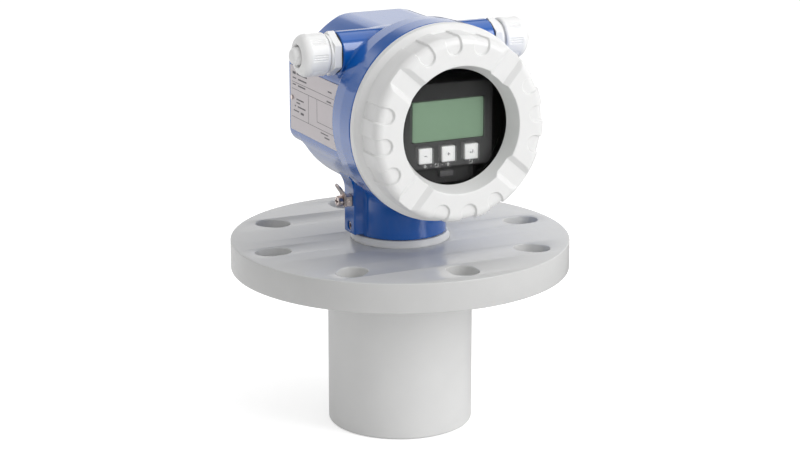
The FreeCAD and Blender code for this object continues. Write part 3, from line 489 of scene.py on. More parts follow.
def look_of(body, slot, *replaces, paint=None):
    """Body, material slot, paint and replaced nodes of a new piece."""
    return dict(body=body, slot=slot, paint=paint or PAINTS[slot], replaces=replaces)


# The carrier takes the plastic with painted shade; the latch takes a grey that is partly painted light.
OWN_PAINT = {
    "display_carrier": CARRIER_PAINTED_SHADING, "display_latch": LATCH_GREY,
    "glass_retainer": PAINTS["black_plastic"],
}

for part in frame["record"]["subparts"]:
    solid = frame["nodes"][part["node"]]
    solid.data.materials.clear()
    solid.data.materials.append(OWN_PAINT.get(part["node"], PAINTS[part["material_slot"]]))


# Process flange with its sensor


def arc_points(centre, radius, first, last, count):
    angle = np.linspace(first, last, count)
    return [(centre[0] + radius * math.cos(a), centre[1] + radius * math.sin(a)) for a in angle]


def plate_piece(name, outlines, low, high, edge, **look):
    """Flat plate with holes and a small round edge: the first outline is the rim, the rest are holes."""
    curve = bpy.data.curves.new(name, "CURVE")
    curve.dimensions = "2D"
    curve.fill_mode = "BOTH"
    curve.extrude = ((high - low) / 2 - edge) * MM
    curve.bevel_depth = edge * MM
    curve.bevel_resolution = 2
    curve.offset = -edge * MM
    for k, outline in enumerate(outlines):
        ordered = outline if k == 0 else outline[::-1]
        spline = curve.splines.new("POLY")
        spline.points.add(len(ordered) - 1)
        for point, (x, y) in zip(spline.points, ordered):
            point.co = (x * MM, y * MM, 0, 1)
        spline.use_cyclic_u = True
    drawn = bpy.data.objects.new(name + "_outline", curve)
    show(drawn)
    bpy.context.view_layer.update()
    graph = bpy.context.evaluated_depsgraph_get()
    mesh = bpy.data.meshes.new_from_object(drawn.evaluated_get(graph))
    points = np.array([v.co for v in mesh.vertices]) / MM + (0, 0, (low + high) / 2)
    faces = [tuple(face.vertices) for face in mesh.polygons]
    bpy.data.objects.remove(drawn)
    bpy.data.curves.remove(curve)
    bpy.data.meshes.remove(mesh)
    return weld(new_piece(name, points, faces, **look))


SLOT_COUNT = 8
SLOT_NEAR = 90.0
SLOT_FAR = 95.25
SLOT_RADIUS = 9.5
SHANK_HOLE = 24.2
SLOT_END_POINTS = 17
RIM_POINTS = 288
HOLE_POINTS = 96


def slot_outline(angle):
    turn = complex(math.cos(angle), math.sin(angle))
    path = arc_points((SLOT_FAR, 0), SLOT_RADIUS, -math.pi / 2, math.pi / 2, SLOT_END_POINTS)
    path += arc_points((SLOT_NEAR, 0), SLOT_RADIUS, math.pi / 2, 3 * math.pi / 2, SLOT_END_POINTS)
    spun = [complex(*point) * turn for point in path]
    return [(point.real, point.imag) for point in spun]


def build_flange():
    full = 2 * math.pi
    rim = arc_points((0, 0), FLANGE_RADIUS, 0, full, RIM_POINTS + 1)[:-1]
    hole = arc_points((0, 0), SHANK_HOLE, 0, full, HOLE_POINTS + 1)[:-1]
    slots = [slot_outline(full * k / SLOT_COUNT) for k in range(SLOT_COUNT)]
    plate_piece("flange_plate", [rim, hole] + slots, FLANGE_LOW[2], FLANGE_HIGH[2], EDGE_WIDE,
                **look_of("sensor", "grey_plastic", "process_flange"))


TUBE_WALL = 5.0
TUBE_FLOOR = 4.0
TUBE_FOOT_EDGE = 2.0
TUBE_FLOOR_ROUND = 1.0
TUBE_SEGMENTS = 192
COLLAR_LAND = 1.2
COLLAR_SLOPE = 1.6
COLLAR_SEGMENTS = 160


def build_sensor():
    low, high = TUBE_LOW[2], TUBE_HIGH[2]
    inside = TUBE_RADIUS - TUBE_WALL
    turned_piece("sensor_shell", [
        (0, low, 0), (TUBE_RADIUS, low, TUBE_FOOT_EDGE), (TUBE_RADIUS, high, EDGE_FINE),
        (inside, high, EDGE_FINE), (inside, low + TUBE_FLOOR, TUBE_FLOOR_ROUND), (0, low + TUBE_FLOOR, 0),
    ], row_frame, TUBE_SEGMENTS, **look_of("sensor", "sensor_plastic", "sensor_tube"))
    turned_piece("collar_ring", [
        (SHANK_HOLE, COLLAR_LOW[2], EDGE_FINE), (COLLAR_RADIUS, COLLAR_LOW[2], EDGE_FINE),
        (COLLAR_RADIUS, COLLAR_LOW[2] + COLLAR_LAND, EDGE_SOFT),
        (COLLAR_RADIUS - COLLAR_SLOPE, COLLAR_HIGH[2], EDGE_SMALL), (SHANK_HOLE, COLLAR_HIGH[2], EDGE_FINE),
    ], row_frame, COLLAR_SEGMENTS,
        **look_of("sensor", "grey_plastic", "lock_collar", paint=PAINTS["sensor_plastic"]))


# Housing casting

BARREL = 60.5
FLAT = REAR_HIGH[0]
BARREL_REAR = -REAR_LOW[1]
BOX_HALF = (REAR_HIGH[2] - REAR_LOW[2]) / 2
BOX_CORNER = 10.0
BOX_REAR = -REAR_HIGH[1]
RING_BACK = 30.0
RING_FRONT = -CASTING_LOW[1]
RING_RADIUS = CASTING_HIGH[0]
RING_TAPER = 0.8
RING_TAPER_LENGTH = 15.0
BOSS_RADIUS = 14.0
CAVITY = 50.0
CAVITY_REAR = -36.0
THREAD = 57.4
THREAD_BACK = 47.0
ROOM_HALF = (46.0, 24.0)
ROOM_REAR = -52.0
SWIVEL_BORE = 22.8
ENTRY_RADIUS = 10.1
OVERRUN = 5.0
CASTING_CELL = 1.2
BARREL_EDGE = 2.0
BOX_EDGE = 2.8
BOX_FILLET = 2.0
RING_BACK_EDGE = 2.2
RING_FRONT_EDGE = 0.7
RING_FILLET = 1.2
BOSS_EDGE = 0.6
BOSS_FILLET = 1.6
CAVITY_ROUND = 1.0
ROOM_ROUND = 4.0
HOLE_EDGE = 0.1


def barrel_field(p):
    """Barrel with its flats, rear box, front ring and gland bosses, in cover-axis coordinates."""
    x, y, z = p.T
    across = np.hypot(x, y)
    section = round_meet(across - BARREL, np.abs(x) - FLAT, BARREL_EDGE)
    section = round_meet(section, y - FLAT, BARREL_EDGE)
    front = RING_BACK + OVERRUN
    solid = round_meet(section, slab(z, BARREL_REAR, front), BARREL_EDGE)
    tall = BOX_CORNER * 2
    plan = np.stack([x, y, np.zeros_like(x)], 1)
    box = block_field(plan, (-FLAT, -BOX_HALF, -tall), (FLAT, BOX_HALF, tall), BOX_CORNER)
    box = round_meet(box, slab(z, BOX_REAR, front), BOX_EDGE)
    solid = np.maximum(fillet_union(solid, box, BOX_FILLET), np.abs(x) - FLAT)
    taper = RING_TAPER * np.clip((RING_BACK + RING_TAPER_LENGTH - z) / RING_TAPER_LENGTH, 0, 1)
    ring = round_meet(across - RING_RADIUS + taper, RING_BACK - z, RING_BACK_EDGE)
    ring = round_meet(ring, z - RING_FRONT, RING_FRONT_EDGE)
    solid = fillet_union(solid, ring, RING_FILLET)
    boss_place = (GLAND_Z - AXIS_Z, -GLAND_Y)
    bosses = rod_field(p, 0, boss_place, BOSS_RADIUS, -BOSS_REACH, BOSS_REACH, BOSS_EDGE)
    solid = fillet_union(solid, bosses, BOSS_FILLET)
    cavity = round_meet(across - CAVITY, slab(z, CAVITY_REAR, RING_FRONT + OVERRUN), CAVITY_ROUND)
    mouth = round_meet(across - THREAD, THREAD_BACK - z, EDGE_SOFT)
    room = block_field(p, (-ROOM_HALF[0], -ROOM_HALF[1], ROOM_REAR), (*ROOM_HALF, 0), ROOM_ROUND)
    bore = rod_field(p, 1, (0, 0), SWIVEL_BORE, -BARREL - OVERRUN, 0, EDGE_SOFT)
    entries = rod_field(p, 0, boss_place, ENTRY_RADIUS, -BOSS_REACH * 2, BOSS_REACH * 2, HOLE_EDGE)
    for hollow in (cavity, mouth, room, bore, entries):
        solid = fillet_cut(solid, hollow, EDGE_WIDE)
    return solid


NECK_RADIUS = NECK_HIGH[0]
NECK_BOTTOM = NECK_LOW[2] - AXIS_Z
NECK_TOP = NECK_HIGH[2] - AXIS_Z
NECK_TUCK = 0.4
NECK_FILLET = 7.0
SKIN = 0.06
PAD_REACH = -NECK_LOW[0]
PAD_FORWARD = 1.0
PAD_HALF = 8.0
PAD_LIFT = 1.7
SET_SCREW_Z = 31.7
SET_SCREW_RADIUS = 2.9
FOOT_LOW, FOOT_HIGH = box_mm("ground_block")
GROUND_LIFT = 0.6
GROUND_Z = (FOOT_LOW[2] + FOOT_HIGH[2]) / 2 + GROUND_LIFT
GROUND_FORWARD = -(FOOT_LOW[1] + FOOT_HIGH[1]) / 2
GROUND_HOLE = 2.1
GROUND_HOLE_DEPTH = 8.2
NECK_CELL = 0.8
PAD_EDGE = 0.9
PAD_FILLET = 1.8
NECK_HOLE_FILLET = 0.6


def neck_field(p):
    """Round neck with the flat terminal pad, flared to meet the barrel and ending inside its wall."""
    neck = rod_field(p, 1, (0, 0), NECK_RADIUS, NECK_BOTTOM, 0, EDGE_WIDE)
    pad = block_field(p, (-PAD_REACH, NECK_BOTTOM + PAD_LIFT, PAD_FORWARD - PAD_HALF),
                      (0, 0, PAD_FORWARD + PAD_HALF), PAD_EDGE)
    solid = fillet_union(neck, pad, PAD_FILLET)
    away = np.hypot(p[:, 0], p[:, 1]) - BARREL
    flared = fillet_union(solid, away + SKIN, NECK_FILLET)
    solid = np.maximum(np.maximum(flared, solid - NECK_FILLET / 2), -away - NECK_TUCK)
    bore = rod_field(p, 1, (0, 0), SWIVEL_BORE, NECK_BOTTOM - OVERRUN, 0, EDGE_SOFT)
    outside = -PAD_REACH - OVERRUN
    screw = rod_field(p, 0, (SET_SCREW_Z - AXIS_Z, PAD_FORWARD), SET_SCREW_RADIUS, outside, 0, HOLE_EDGE)
    ground = rod_field(p, 0, (GROUND_Z - AXIS_Z, GROUND_FORWARD), GROUND_HOLE, outside,
                       GROUND_HOLE_DEPTH - PAD_REACH, HOLE_EDGE)
    for hollow in (bore, screw, ground):
        solid = fillet_cut(solid, hollow, NECK_HOLE_FILLET)
    return solid


def build_casting():
    low = (-RING_RADIUS, -RING_RADIUS, BOX_REAR)
    high = (RING_RADIUS, RING_RADIUS, RING_FRONT)
    field_piece("housing_shell", barrel_field, low, high, CASTING_CELL, head_frame,
                **look_of("housing", "blue_enamel", "housing_casting", "housing_rear"))
    flare = NECK_FILLET / 2
    low = (-PAD_REACH - flare, NECK_BOTTOM, -NECK_RADIUS - flare)
    high = (NECK_RADIUS + flare, NECK_TOP + OVERRUN, NECK_RADIUS + flare)
    field_piece("neck_shell", neck_field, low, high, NECK_CELL, head_frame,
                **look_of("housing", "blue_enamel", "housing_neck"))


# Screw cover

COVER_ROLL = math.radians(6)
COVER_SEGMENTS = 1080
COVER_TAIL = 49.0
COVER_BORE = 50.5
COVER_THREAD = 57.0
JOINT_PLANE = 61.0
RIM_RADIUS = 64.5
RIM_FRONT = 66.5
GRIP_RADIUS = 60.5
GRIP_BACK = 69.0
COVER_FRONT = -box_mm("cover_ring")[0][1]
GRIP_ROUND = 6.0
LIP_RADIUS = 41.3
WINDOW_RADIUS = 37.6
WINDOW_FRONT = 79.1
GLASS_SEAT = 44.3
SEAT_BACK = 72.4
SEAL_LEVEL = 57.3
SEAL_HALF = 1.4
SEAL_FLOOR = 54.5
FLUTE_HALF = 5.2
FLUTE_END = 54.1
FLUTE_DEPTH = 1.5
FLUTE_SIDE_DEPTH = 1.2
FLUTE_STEP = math.radians(20.7)
GROOVE_ANGLE = math.radians(43.5)
GROOVE_FLOOR = 5.3
GROOVE_SLOPE = 3.4
GROOVE_DEPTH = 3.0
FLUTE_SOFT = 0.8
FLUTE_MARGIN = 1
FLUTE_LIMIT = FLUTE_END - FLUTE_HALF - FLUTE_MARGIN
FLUTE_START = 0.4
FLUTE_RUNOUT = 0.8
CARVE_MARGIN = 0.3
RIM_EDGE = 1.6
GRIP_FOOT_ROUND = 1.0
LIP_EDGE = 0.6
GRIP_SPACING = 1.1
FLUTE_SPACING = 0.45
FACE_SPACING = 1.0
LIP_SPACING = 0.8
GRIP_ROUND_POINTS = 13


def dense(start, end, spacing):
    """Points along a line, the last one left out."""
    start, end = np.array(start, float), np.array(end, float)
    count = max(int(math.ceil(np.linalg.norm(end - start) / spacing)), 1)
    return [start + (end - start) * k / count for k in range(count)]


def cover_profile():
    """Closed section (radius, out of the display), dense where the finger grips are carved."""
    path = [np.array(point, float) for point in (
        (COVER_BORE, COVER_TAIL), (COVER_THREAD - EDGE_WIDE, COVER_TAIL),
        (COVER_THREAD, COVER_TAIL + EDGE_WIDE), (COVER_THREAD, SEAL_LEVEL - SEAL_HALF),
        (SEAL_FLOOR, SEAL_LEVEL - SEAL_HALF), (SEAL_FLOOR, SEAL_LEVEL + SEAL_HALF),
        (COVER_THREAD, SEAL_LEVEL + SEAL_HALF), (COVER_THREAD, JOINT_PLANE),
    )]
    rim = rounded([
        (COVER_THREAD, JOINT_PLANE, 0), (RIM_RADIUS, JOINT_PLANE, EDGE_WIDE),
        (RIM_RADIUS, RIM_FRONT, RIM_EDGE), (GRIP_RADIUS, GRIP_BACK, GRIP_FOOT_ROUND),
        (GRIP_RADIUS, COVER_FRONT, 0),
    ], 4)
    path += list(rim[1:-1])
    corner = (GRIP_RADIUS - GRIP_ROUND, COVER_FRONT - GRIP_ROUND)
    path += dense(path[-1], (GRIP_RADIUS, corner[1]), GRIP_SPACING)[1:]
    for angle in np.linspace(0, math.pi / 2, GRIP_ROUND_POINTS):
        path.append(np.array(corner) + GRIP_ROUND * np.array((math.cos(angle), math.sin(angle))))
    path += dense(path[-1], (FLUTE_LIMIT, COVER_FRONT), FLUTE_SPACING)[1:]
    path += dense((FLUTE_LIMIT, COVER_FRONT), (LIP_RADIUS + LIP_EDGE, COVER_FRONT), FACE_SPACING)
    lip = rounded([
        (GRIP_RADIUS, COVER_FRONT, 0), (LIP_RADIUS, COVER_FRONT, LIP_EDGE), (WINDOW_RADIUS, WINDOW_FRONT, 0),
    ], 3)
    path += list(lip[1:-1])
    path += dense(path[-1], (WINDOW_RADIUS, WINDOW_FRONT), LIP_SPACING)[1:]
    path += [np.array(point, float) for point in (
        (WINDOW_RADIUS, WINDOW_FRONT), (GLASS_SEAT, WINDOW_FRONT), (GLASS_SEAT, SEAT_BACK),
        (COVER_BORE, SEAT_BACK),
    )]
    return np.array(path)


def carve_cover(angle, radius, height):
    """Finger flutes and the four wide grooves pressed into the front and the grip."""
    profile_step = np.stack([np.gradient(radius[0]), np.gradient(height[0])], 1)
    inward = np.stack([-profile_step[:, 1], profile_step[:, 0]], 1)
    inward /= np.maximum(np.linalg.norm(inward, axis=1), TINY)[:, None]
    carved = (height > GRIP_BACK - CARVE_MARGIN) & (radius > FLUTE_LIMIT)
    pressed = np.zeros_like(radius)
    trench = np.zeros_like(radius)
    local = angle - COVER_ROLL
    for quarter in range(4):
        for k in (-1, 0, 1):
            away = local - quarter * math.pi / 2 - k * FLUTE_STEP
            along = radius * np.cos(away)
            aside = radius * np.sin(away)
            edge = FLUTE_HALF - np.hypot(np.minimum(along - FLUTE_END, 0), aside)
            pressed = np.maximum(pressed, np.where(along > 0, ramp(edge, FLUTE_SOFT), 0))
        away = local - quarter * math.pi / 2 - GROOVE_ANGLE
        edge = GROOVE_FLOOR + GROOVE_SLOPE - np.abs(radius * np.sin(away))
        trench = np.maximum(trench, np.where(np.cos(away) > 0, np.clip(edge / GROOVE_SLOPE, 0, 1), 0))
    depth = FLUTE_SIDE_DEPTH * inward[:, 0] ** 2 + FLUTE_DEPTH * inward[:, 1] ** 2
    pressed = pressed * carved * ramp(height - GRIP_BACK - FLUTE_START, FLUTE_RUNOUT) * depth
    new_radius = radius + pressed * inward[:, 0]
    new_height = height + pressed * inward[:, 1]
    ceiling = COVER_FRONT - GROOVE_DEPTH * trench
    return new_radius, np.where(height > WINDOW_FRONT, np.minimum(new_height, ceiling), new_height)


def build_cover():
    points, faces = turned(cover_profile(), COVER_SEGMENTS, carve_cover)
    look = look_of("cover", "white_enamel", "cover_ring")
    weld(new_piece("cover_casting", head_frame(points), faces, **look))


# Cable glands

WASHER = 0.9
HEX_APOTHEM = (HEX_HIGH[1] - HEX_LOW[1]) / 2
HEX_TOP = 5.8
HEX_CHAMFER = (0.8, 0.45)
HEX_FOOT = 0.2
HEX_CORNER_TRIM = 0.2
HEX_CHAMFER_POINTS = 5
HEX_SLACK = 0.1
HEX_SMOOTH = math.radians(14)
COLLAR_STEP = 12.6
COLLAR_STEP_HEIGHT = 1.7
COLLET_RADIUS = 11.5
COLLET_FOOT = 0.2
COLLET_TOP = HEX_HIGH[0] - BOSS_REACH
GLAND_THREAD = 9.9
GLAND_SHANK = 10.0
GLAND_BORE = 7.0
SEAT_RADIUS = 9.8
SEAT_FLOOR = 3.7
NUT_GAP = 3.0
NUT_BACK = HEX_TOP + NUT_GAP
NUT_FRONT = NUT_HIGH[0] - BOSS_REACH
NUT_RADIUS = (NUT_HIGH[1] - NUT_LOW[1]) / 2
NUT_DOME = 5.2
NUT_SHOULDER = NUT_FRONT - NUT_DOME
NUT_ROUND = 5.9
NUT_CHAMFER = (0.5, 1.0)
NUT_LEVELS = 12
NUT_STRAIGHT = (2, 0.9)
NUT_BORE = 11.9
SEAT_GAP = 0.3
NUT_ROOF = COLLET_TOP + SEAT_GAP
MOUTH_RADIUS = 7.2
MOUTH_CHAMFER = (0.5, 1)
MOUTH_DEPTH = 1
RIB_GROUPS = 8
RIB_PITCH = 1.5
RIB_HALF = 0.48
RIB_DEPTH = 0.45
RIB_START = 2.4
RIB_MARGIN = 1.0
RIB_RUNOUT = (0.8, 1.0)
NUT_SKIN = 1.0
PLUG_RADIUS = 5.9
PLUG_STEM = 5.3
PLUG_STEP = 2
PLUG_ROUND = 4.0
PLUG_END = box_mm("blind_plug_right")[1][0] - BOSS_REACH
BODY_SEGMENTS = 144
NUT_SEGMENTS = 576
PLUG_SEGMENTS = 96


def hexagon_limit(angle, radius, height):
    """Cuts a turned collar to a hexagon, leaving its chamfered corners."""
    sector = (angle + math.pi / 6) % (math.pi / 3) - math.pi / 6
    flat = HEX_APOTHEM / np.cos(math.pi / 6 - np.abs(sector))
    hexed = (height > WASHER - HEX_SLACK) & (height < HEX_TOP + HEX_SLACK)
    return np.where(hexed, np.minimum(radius, flat), radius), height


def grip_nut(angle, radius, height):
    """Groups of three fine grooves along the straight part of a nut."""
    sector = 2 * math.pi / RIB_GROUPS
    aside = ((angle + sector / 2) % sector - sector / 2) * NUT_RADIUS
    nearest = np.clip(np.round(aside / RIB_PITCH), -1, 1) * RIB_PITCH
    groove = ramp(RIB_HALF - np.abs(aside - nearest), RIB_HALF) * RIB_DEPTH
    begin = ramp(height - NUT_BACK - RIB_START, RIB_RUNOUT[0])
    straight = begin * ramp(NUT_SHOULDER - RIB_MARGIN - height, RIB_RUNOUT[1])
    outer = radius > NUT_RADIUS - NUT_SKIN
    return radius - groove * straight * outer, height


def build_gland(side, word):
    place = gland_frame(side)
    white = "white_plastic"
    corner = HEX_APOTHEM / math.cos(math.pi / 6) - HEX_CORNER_TRIM
    wide, tall = HEX_CHAMFER
    shares = np.linspace(0, 1, HEX_CHAMFER_POINTS)
    lower = [(corner - HEX_FOOT * (1 - t), WASHER + HEX_FOOT * t, 0) for t in shares]
    upper = [(corner - wide * t, HEX_TOP - tall * (1 - t), 0) for t in shares]
    step_top = HEX_TOP + COLLAR_STEP_HEIGHT
    turned_piece(f"gland_{word}_body", [
        (GLAND_BORE, -GLAND_SHANK, EDGE_FINE), (GLAND_THREAD, -GLAND_SHANK, EDGE_WIDE),
        (GLAND_THREAD, WASHER, 0),
    ] + lower + upper + [
        (COLLAR_STEP, HEX_TOP, 0), (COLLAR_STEP, step_top, EDGE_FINE), (COLLET_RADIUS, step_top, COLLET_FOOT),
        (COLLET_RADIUS, COLLET_TOP, EDGE_SOFT), (SEAT_RADIUS, COLLET_TOP, EDGE_FINE),
        (SEAT_RADIUS, SEAT_FLOOR, EDGE_FINE), (GLAND_BORE, SEAT_FLOOR, EDGE_FINE),
    ], place, BODY_SEGMENTS, hexagon_limit, steps=3, smooth=HEX_SMOOTH,
        **look_of("housing", white, f"gland_body_{word}"))
    levels = np.linspace(NUT_BACK + NUT_STRAIGHT[0], NUT_SHOULDER - NUT_STRAIGHT[1], NUT_LEVELS)
    turned_piece(f"gland_{word}_nut", [
        (NUT_BORE, NUT_BACK, EDGE_SMALL), (NUT_RADIUS - NUT_CHAMFER[0], NUT_BACK, EDGE_SMALL),
        (NUT_RADIUS, NUT_BACK + NUT_CHAMFER[1], 0),
    ] + [(NUT_RADIUS, level, 0) for level in levels] + [
        (NUT_RADIUS, NUT_FRONT, NUT_ROUND), (MOUTH_RADIUS + MOUTH_CHAMFER[0], NUT_FRONT, EDGE_SMALL),
        (MOUTH_RADIUS, NUT_FRONT - MOUTH_CHAMFER[1], EDGE_SMALL),
        (MOUTH_RADIUS, NUT_SHOULDER - MOUTH_DEPTH, EDGE_FINE), (SEAT_RADIUS + SEAT_GAP, NUT_ROOF, EDGE_FINE),
        (NUT_BORE, NUT_ROOF, EDGE_FINE),
    ], place, NUT_SEGMENTS, grip_nut, steps=7, **look_of(f"{word}_nut", white, f"gland_nut_{word}"))
    foot = SEAT_FLOOR + SEAT_GAP
    step = NUT_SHOULDER - PLUG_STEP
    turned_piece(f"gland_{word}_plug", [
        (0, foot, 0), (PLUG_STEM, foot, EDGE_FINE), (PLUG_STEM, step, 0), (PLUG_RADIUS, step, 0),
        (PLUG_RADIUS, PLUG_END, PLUG_ROUND), (0, PLUG_END, 0),
    ], place, PLUG_SEGMENTS, steps=8, **look_of(f"{word}_plug", white, f"blind_plug_{word}"))


# Ground terminal on the neck

CLAMP_HALF = 3.6
CLAMP_SEAT = FOOT_HIGH[0] - FOOT_LOW[0]
CLAMP_SKIN = 1.2
CLAMP_BEND = CLAMP_HALF + CLAMP_SKIN
TONGUE = np.array((7.4, 4.9))
TONGUE_HALF = 4.4
SCREW_HEAD = 3.7
SCREW_HEAD_DEPTH = 4.0
SCREW_SHANK = 2.0
SCREW_LENGTH = 8.0
SHANK_OVERLAP = 1
CROSS_HALF = (2.4, 0.55)
CROSS_DEPTH = 2.0
CLAMP_EDGE = 0.35
CLAMP_FILLET = 0.8
TONGUE_FOOT = 0.8
TONGUE_SINK = 0.05
SCREW_HEAD_ROUND = 1.3
FOOT_EDGE = 0.45
FOOT_HOLE_FILLET = 0.2
TONGUE_CELL = 0.32
SCREW_CELL = 0.36


def terminal_frame(points):
    """Z outward from the pad's face, X up, at the ground screw's height."""
    x, y, z = np.asarray(points, float).T
    return np.stack([-PAD_REACH - z, -GROUND_FORWARD + y, GROUND_Z + x], 1)


def clamp_field(p):
    """Bent clamp plate with a round flared tongue and its screw hole."""
    x, y, z = p.T
    leg = block_field(p, (-CLAMP_HALF, -CLAMP_HALF, CLAMP_SEAT),
                      (CLAMP_BEND, CLAMP_HALF, CLAMP_SEAT + CLAMP_SKIN), CLAMP_EDGE)
    reach = np.linalg.norm(TONGUE)
    up = TONGUE / reach
    along = (x - CLAMP_BEND) * up[0] + (z - CLAMP_SEAT) * up[1]
    off = -(x - CLAMP_BEND) * up[1] + (z - CLAMP_SEAT) * up[0]
    plan = np.hypot(np.maximum(along - reach + TONGUE_HALF, 0), y) - TONGUE_HALF
    plan = np.maximum(plan, -along - TONGUE_FOOT)
    tongue = round_meet(plan, slab(off, -TONGUE_SINK, CLAMP_SKIN - TONGUE_SINK), CLAMP_EDGE)
    solid = fillet_union(leg, tongue, CLAMP_FILLET)
    return fillet_cut(solid, np.hypot(x, y) - GROUND_HOLE, EDGE_FINE)


def screw_field(p):
    """Pan head with a cross recess on a plain shank."""
    x, y, z = p.T
    base = CLAMP_SEAT + CLAMP_SKIN
    top = base + SCREW_HEAD_DEPTH
    head = rod_field(p, 2, (0, 0), SCREW_HEAD, base, top, SCREW_HEAD_ROUND)
    shank = rod_field(p, 2, (0, 0), SCREW_SHANK, -SCREW_LENGTH, base + SHANK_OVERLAP, EDGE_FINE)
    solid = np.minimum(head, shank)
    for a, b in ((x, y), (y, x)):
        arm = np.maximum(np.abs(a) - CROSS_HALF[0], np.abs(b) - CROSS_HALF[1])
        solid = fillet_cut(solid, np.maximum(arm, top - CROSS_DEPTH - z), EDGE_FINE)
    return solid


def foot_field(p):
    """Square block under the clamp."""
    solid = block_field(p, (-CLAMP_HALF, -CLAMP_HALF, 0), (CLAMP_HALF, CLAMP_HALF, CLAMP_SEAT), FOOT_EDGE)
    return fillet_cut(solid, np.hypot(p[:, 0], p[:, 1]) - GROUND_HOLE, FOOT_HOLE_FILLET)


def build_terminal():
    side = max(CLAMP_HALF, TONGUE_HALF)
    tip = CLAMP_SEAT + TONGUE[1] + CLAMP_SKIN
    head = CLAMP_SEAT + CLAMP_SKIN + SCREW_HEAD_DEPTH
    for name, node, field, low, high, cell in (
        ("tongue", "clamp", clamp_field, CLAMP_SEAT, (CLAMP_BEND + TONGUE[0], side, tip), TONGUE_CELL),
        ("bolt", "screw", screw_field, -SCREW_LENGTH, (side, side, head), SCREW_CELL),
        ("foot", "block", foot_field, 0, (side, side, CLAMP_SEAT), SCREW_CELL),
    ):
        field_piece(f"ground_{name}", field, (-side, -side, low), high, cell, terminal_frame,
                    **look_of("housing", "steel", f"ground_{node}"))


# Name plate with ruled fields and blank print bars

INK_PROUD = 0.06
RULE = 0.28
RULE_MARGIN = (2.5, 3.5)
RULE_LEVELS = (33.0, 28.2, 9.0)
COLUMN_PLACE = 30.0
FIELD_PLACE = (44.0, 13.0)
FIELD_MARGIN = 4.0

# Print bars: from the plate's rear edge, from its lower edge, length, height
PRINT_BARS = (
    (4, 38.6, 5, 1.7), (11, 38.8, 17, 1.1), (62, 36.4, 6, 0.9), (4, 35.6, 6, 0.8), (13, 35.4, 14, 1.0),
    (13, 31.0, 12, 1.0), (4, 31.2, 5, 0.8), (60, 29.6, 7, 0.9), (10, 21.5, 12, 0.9), (10, 19.2, 6, 0.9),
    (7, 16.6, 2, 1.0), (12, 16.6, 13, 0.9), (5, 13.4, 9, 0.8), (17, 12.6, 5, 1.5), (50, 6.8, 12, 0.7),
    (56, 4.6, 8, 0.9),
)


def plate_frame(points):
    """Plate coordinates (forward, up, across) to the row frame."""
    y, z, x = np.asarray(points, float).T
    return np.stack([x, y, z], 1)


def plate_bar(rear, low, length, height):
    """Outline of one printed bar, by its distance from the plate's rear and lower edges."""
    y = PLATE_HIGH[1] - rear
    z = PLATE_LOW[2] + low
    return [(y - length, z), (y, z), (y, z + height), (y - length, z + height)]


def build_name_plate():
    width = PLATE_HIGH[1] - PLATE_LOW[1]
    rules = [plate_bar(RULE_MARGIN[0], low, width - sum(RULE_MARGIN), RULE) for low in RULE_LEVELS]
    top, bottom = RULE_LEVELS[1:]
    field, field_low = FIELD_PLACE
    rules += [
        plate_bar(COLUMN_PLACE, bottom, RULE, top - bottom),
        plate_bar(field, field_low, RULE, top - field_low),
        plate_bar(field, field_low, width - field - FIELD_MARGIN, RULE),
    ]
    text = [plate_bar(*bar) for bar in PRINT_BARS]
    ink = look_of("housing", "label_foil", paint=INK)
    for name, bars in (("plate_rules", rules), ("plate_print", text)):
        raised(name, bars, PLATE_LOW[0], -INK_PROUD, plate_frame, **ink)


# Display

FACE = -MODULE_LOW[1]


def rectangle(x, y, width, height):
    a, b = width / 2, height / 2
    return [(x - a, y - b), (x + a, y - b), (x + a, y + b), (x - a, y + b)]


ICON_STEM = 0.4
ICON_LINE = 0.4


def arrow(x, y, size, rise):
    """Filled arrow head with a short stem; rise is 1 for up and -1 for down."""
    half = size / 2
    head = [(x - half, y), (x + half, y), (x, y + rise * half)]
    return [head if rise > 0 else head[::-1], rectangle(x, y - rise * half / 2, size * ICON_STEM, half)]


def corner_box(x, y, size):
    """Open box with a small arrow head inside, as on a menu key."""
    half = size / 2
    return [
        rectangle(x, y - half + ICON_LINE / 2, size, ICON_LINE),
        rectangle(x + half - ICON_LINE / 2, y + ICON_LINE / 2, ICON_LINE, size - ICON_LINE),
        [(x - half, y + half), (x - half, y), (x, y + half)],
    ]


KEY_WIDTH = 9.5
KEY_HEIGHT = 10.2
KEY_EDGE = 0.5
KEY_GAP = 0.3
PANE_CORNER = 1.4
PANE_SHRINK = 0.25
MARK_PROUD = 0.05
ICON_DROP = 1.75
ICON_SIZE = 2.5
PANE_LOW, PANE_HIGH = box_mm("lcd_pane")
CARRIER_RADIUS = box_mm("display_carrier")[1][0]
PLATE_FACE = -MODULE_HIGH[1]
MODULE_SIDE = 32.0
MODULE_EDGE = 1.2
MODULE_WALL = 2.5
MODULE_SKIN = 9.0
SHROUD_WALL = 1.2
SHROUD_FRONT = 66.0
SHROUD_SINK = 0.1
SHROUD_SEGMENTS = 144
CUT_OVERRUN = 9
HOLLOW_ROUND = 1.0
KEY_SINK = 1
PANE_EDGE = 0.2
MODULE_CELL = 0.6
PANE_CELL = 0.45
KEY_CELL = 0.35
DASH = (1.0, 0.3)
KEYS = ("minus", "plus", "enter")


def pane_field(p):
    """Display sheet with round corners, a little smaller than its recess."""
    x, y, z = p.T
    wide = (PANE_HIGH[0] - PANE_LOW[0]) / 2 - PANE_SHRINK - PANE_CORNER
    tall = (PANE_HIGH[2] - PANE_LOW[2]) / 2 - PANE_SHRINK - PANE_CORNER
    middle = (PANE_HIGH[2] + PANE_LOW[2]) / 2 - AXIS_Z
    across = np.maximum(np.abs(x) - wide, 0)
    above = np.maximum(np.abs(y - middle) - tall, 0)
    return round_meet(np.hypot(across, above) - PANE_CORNER, slab(z, -PANE_HIGH[1], -PANE_LOW[1]), PANE_EDGE)


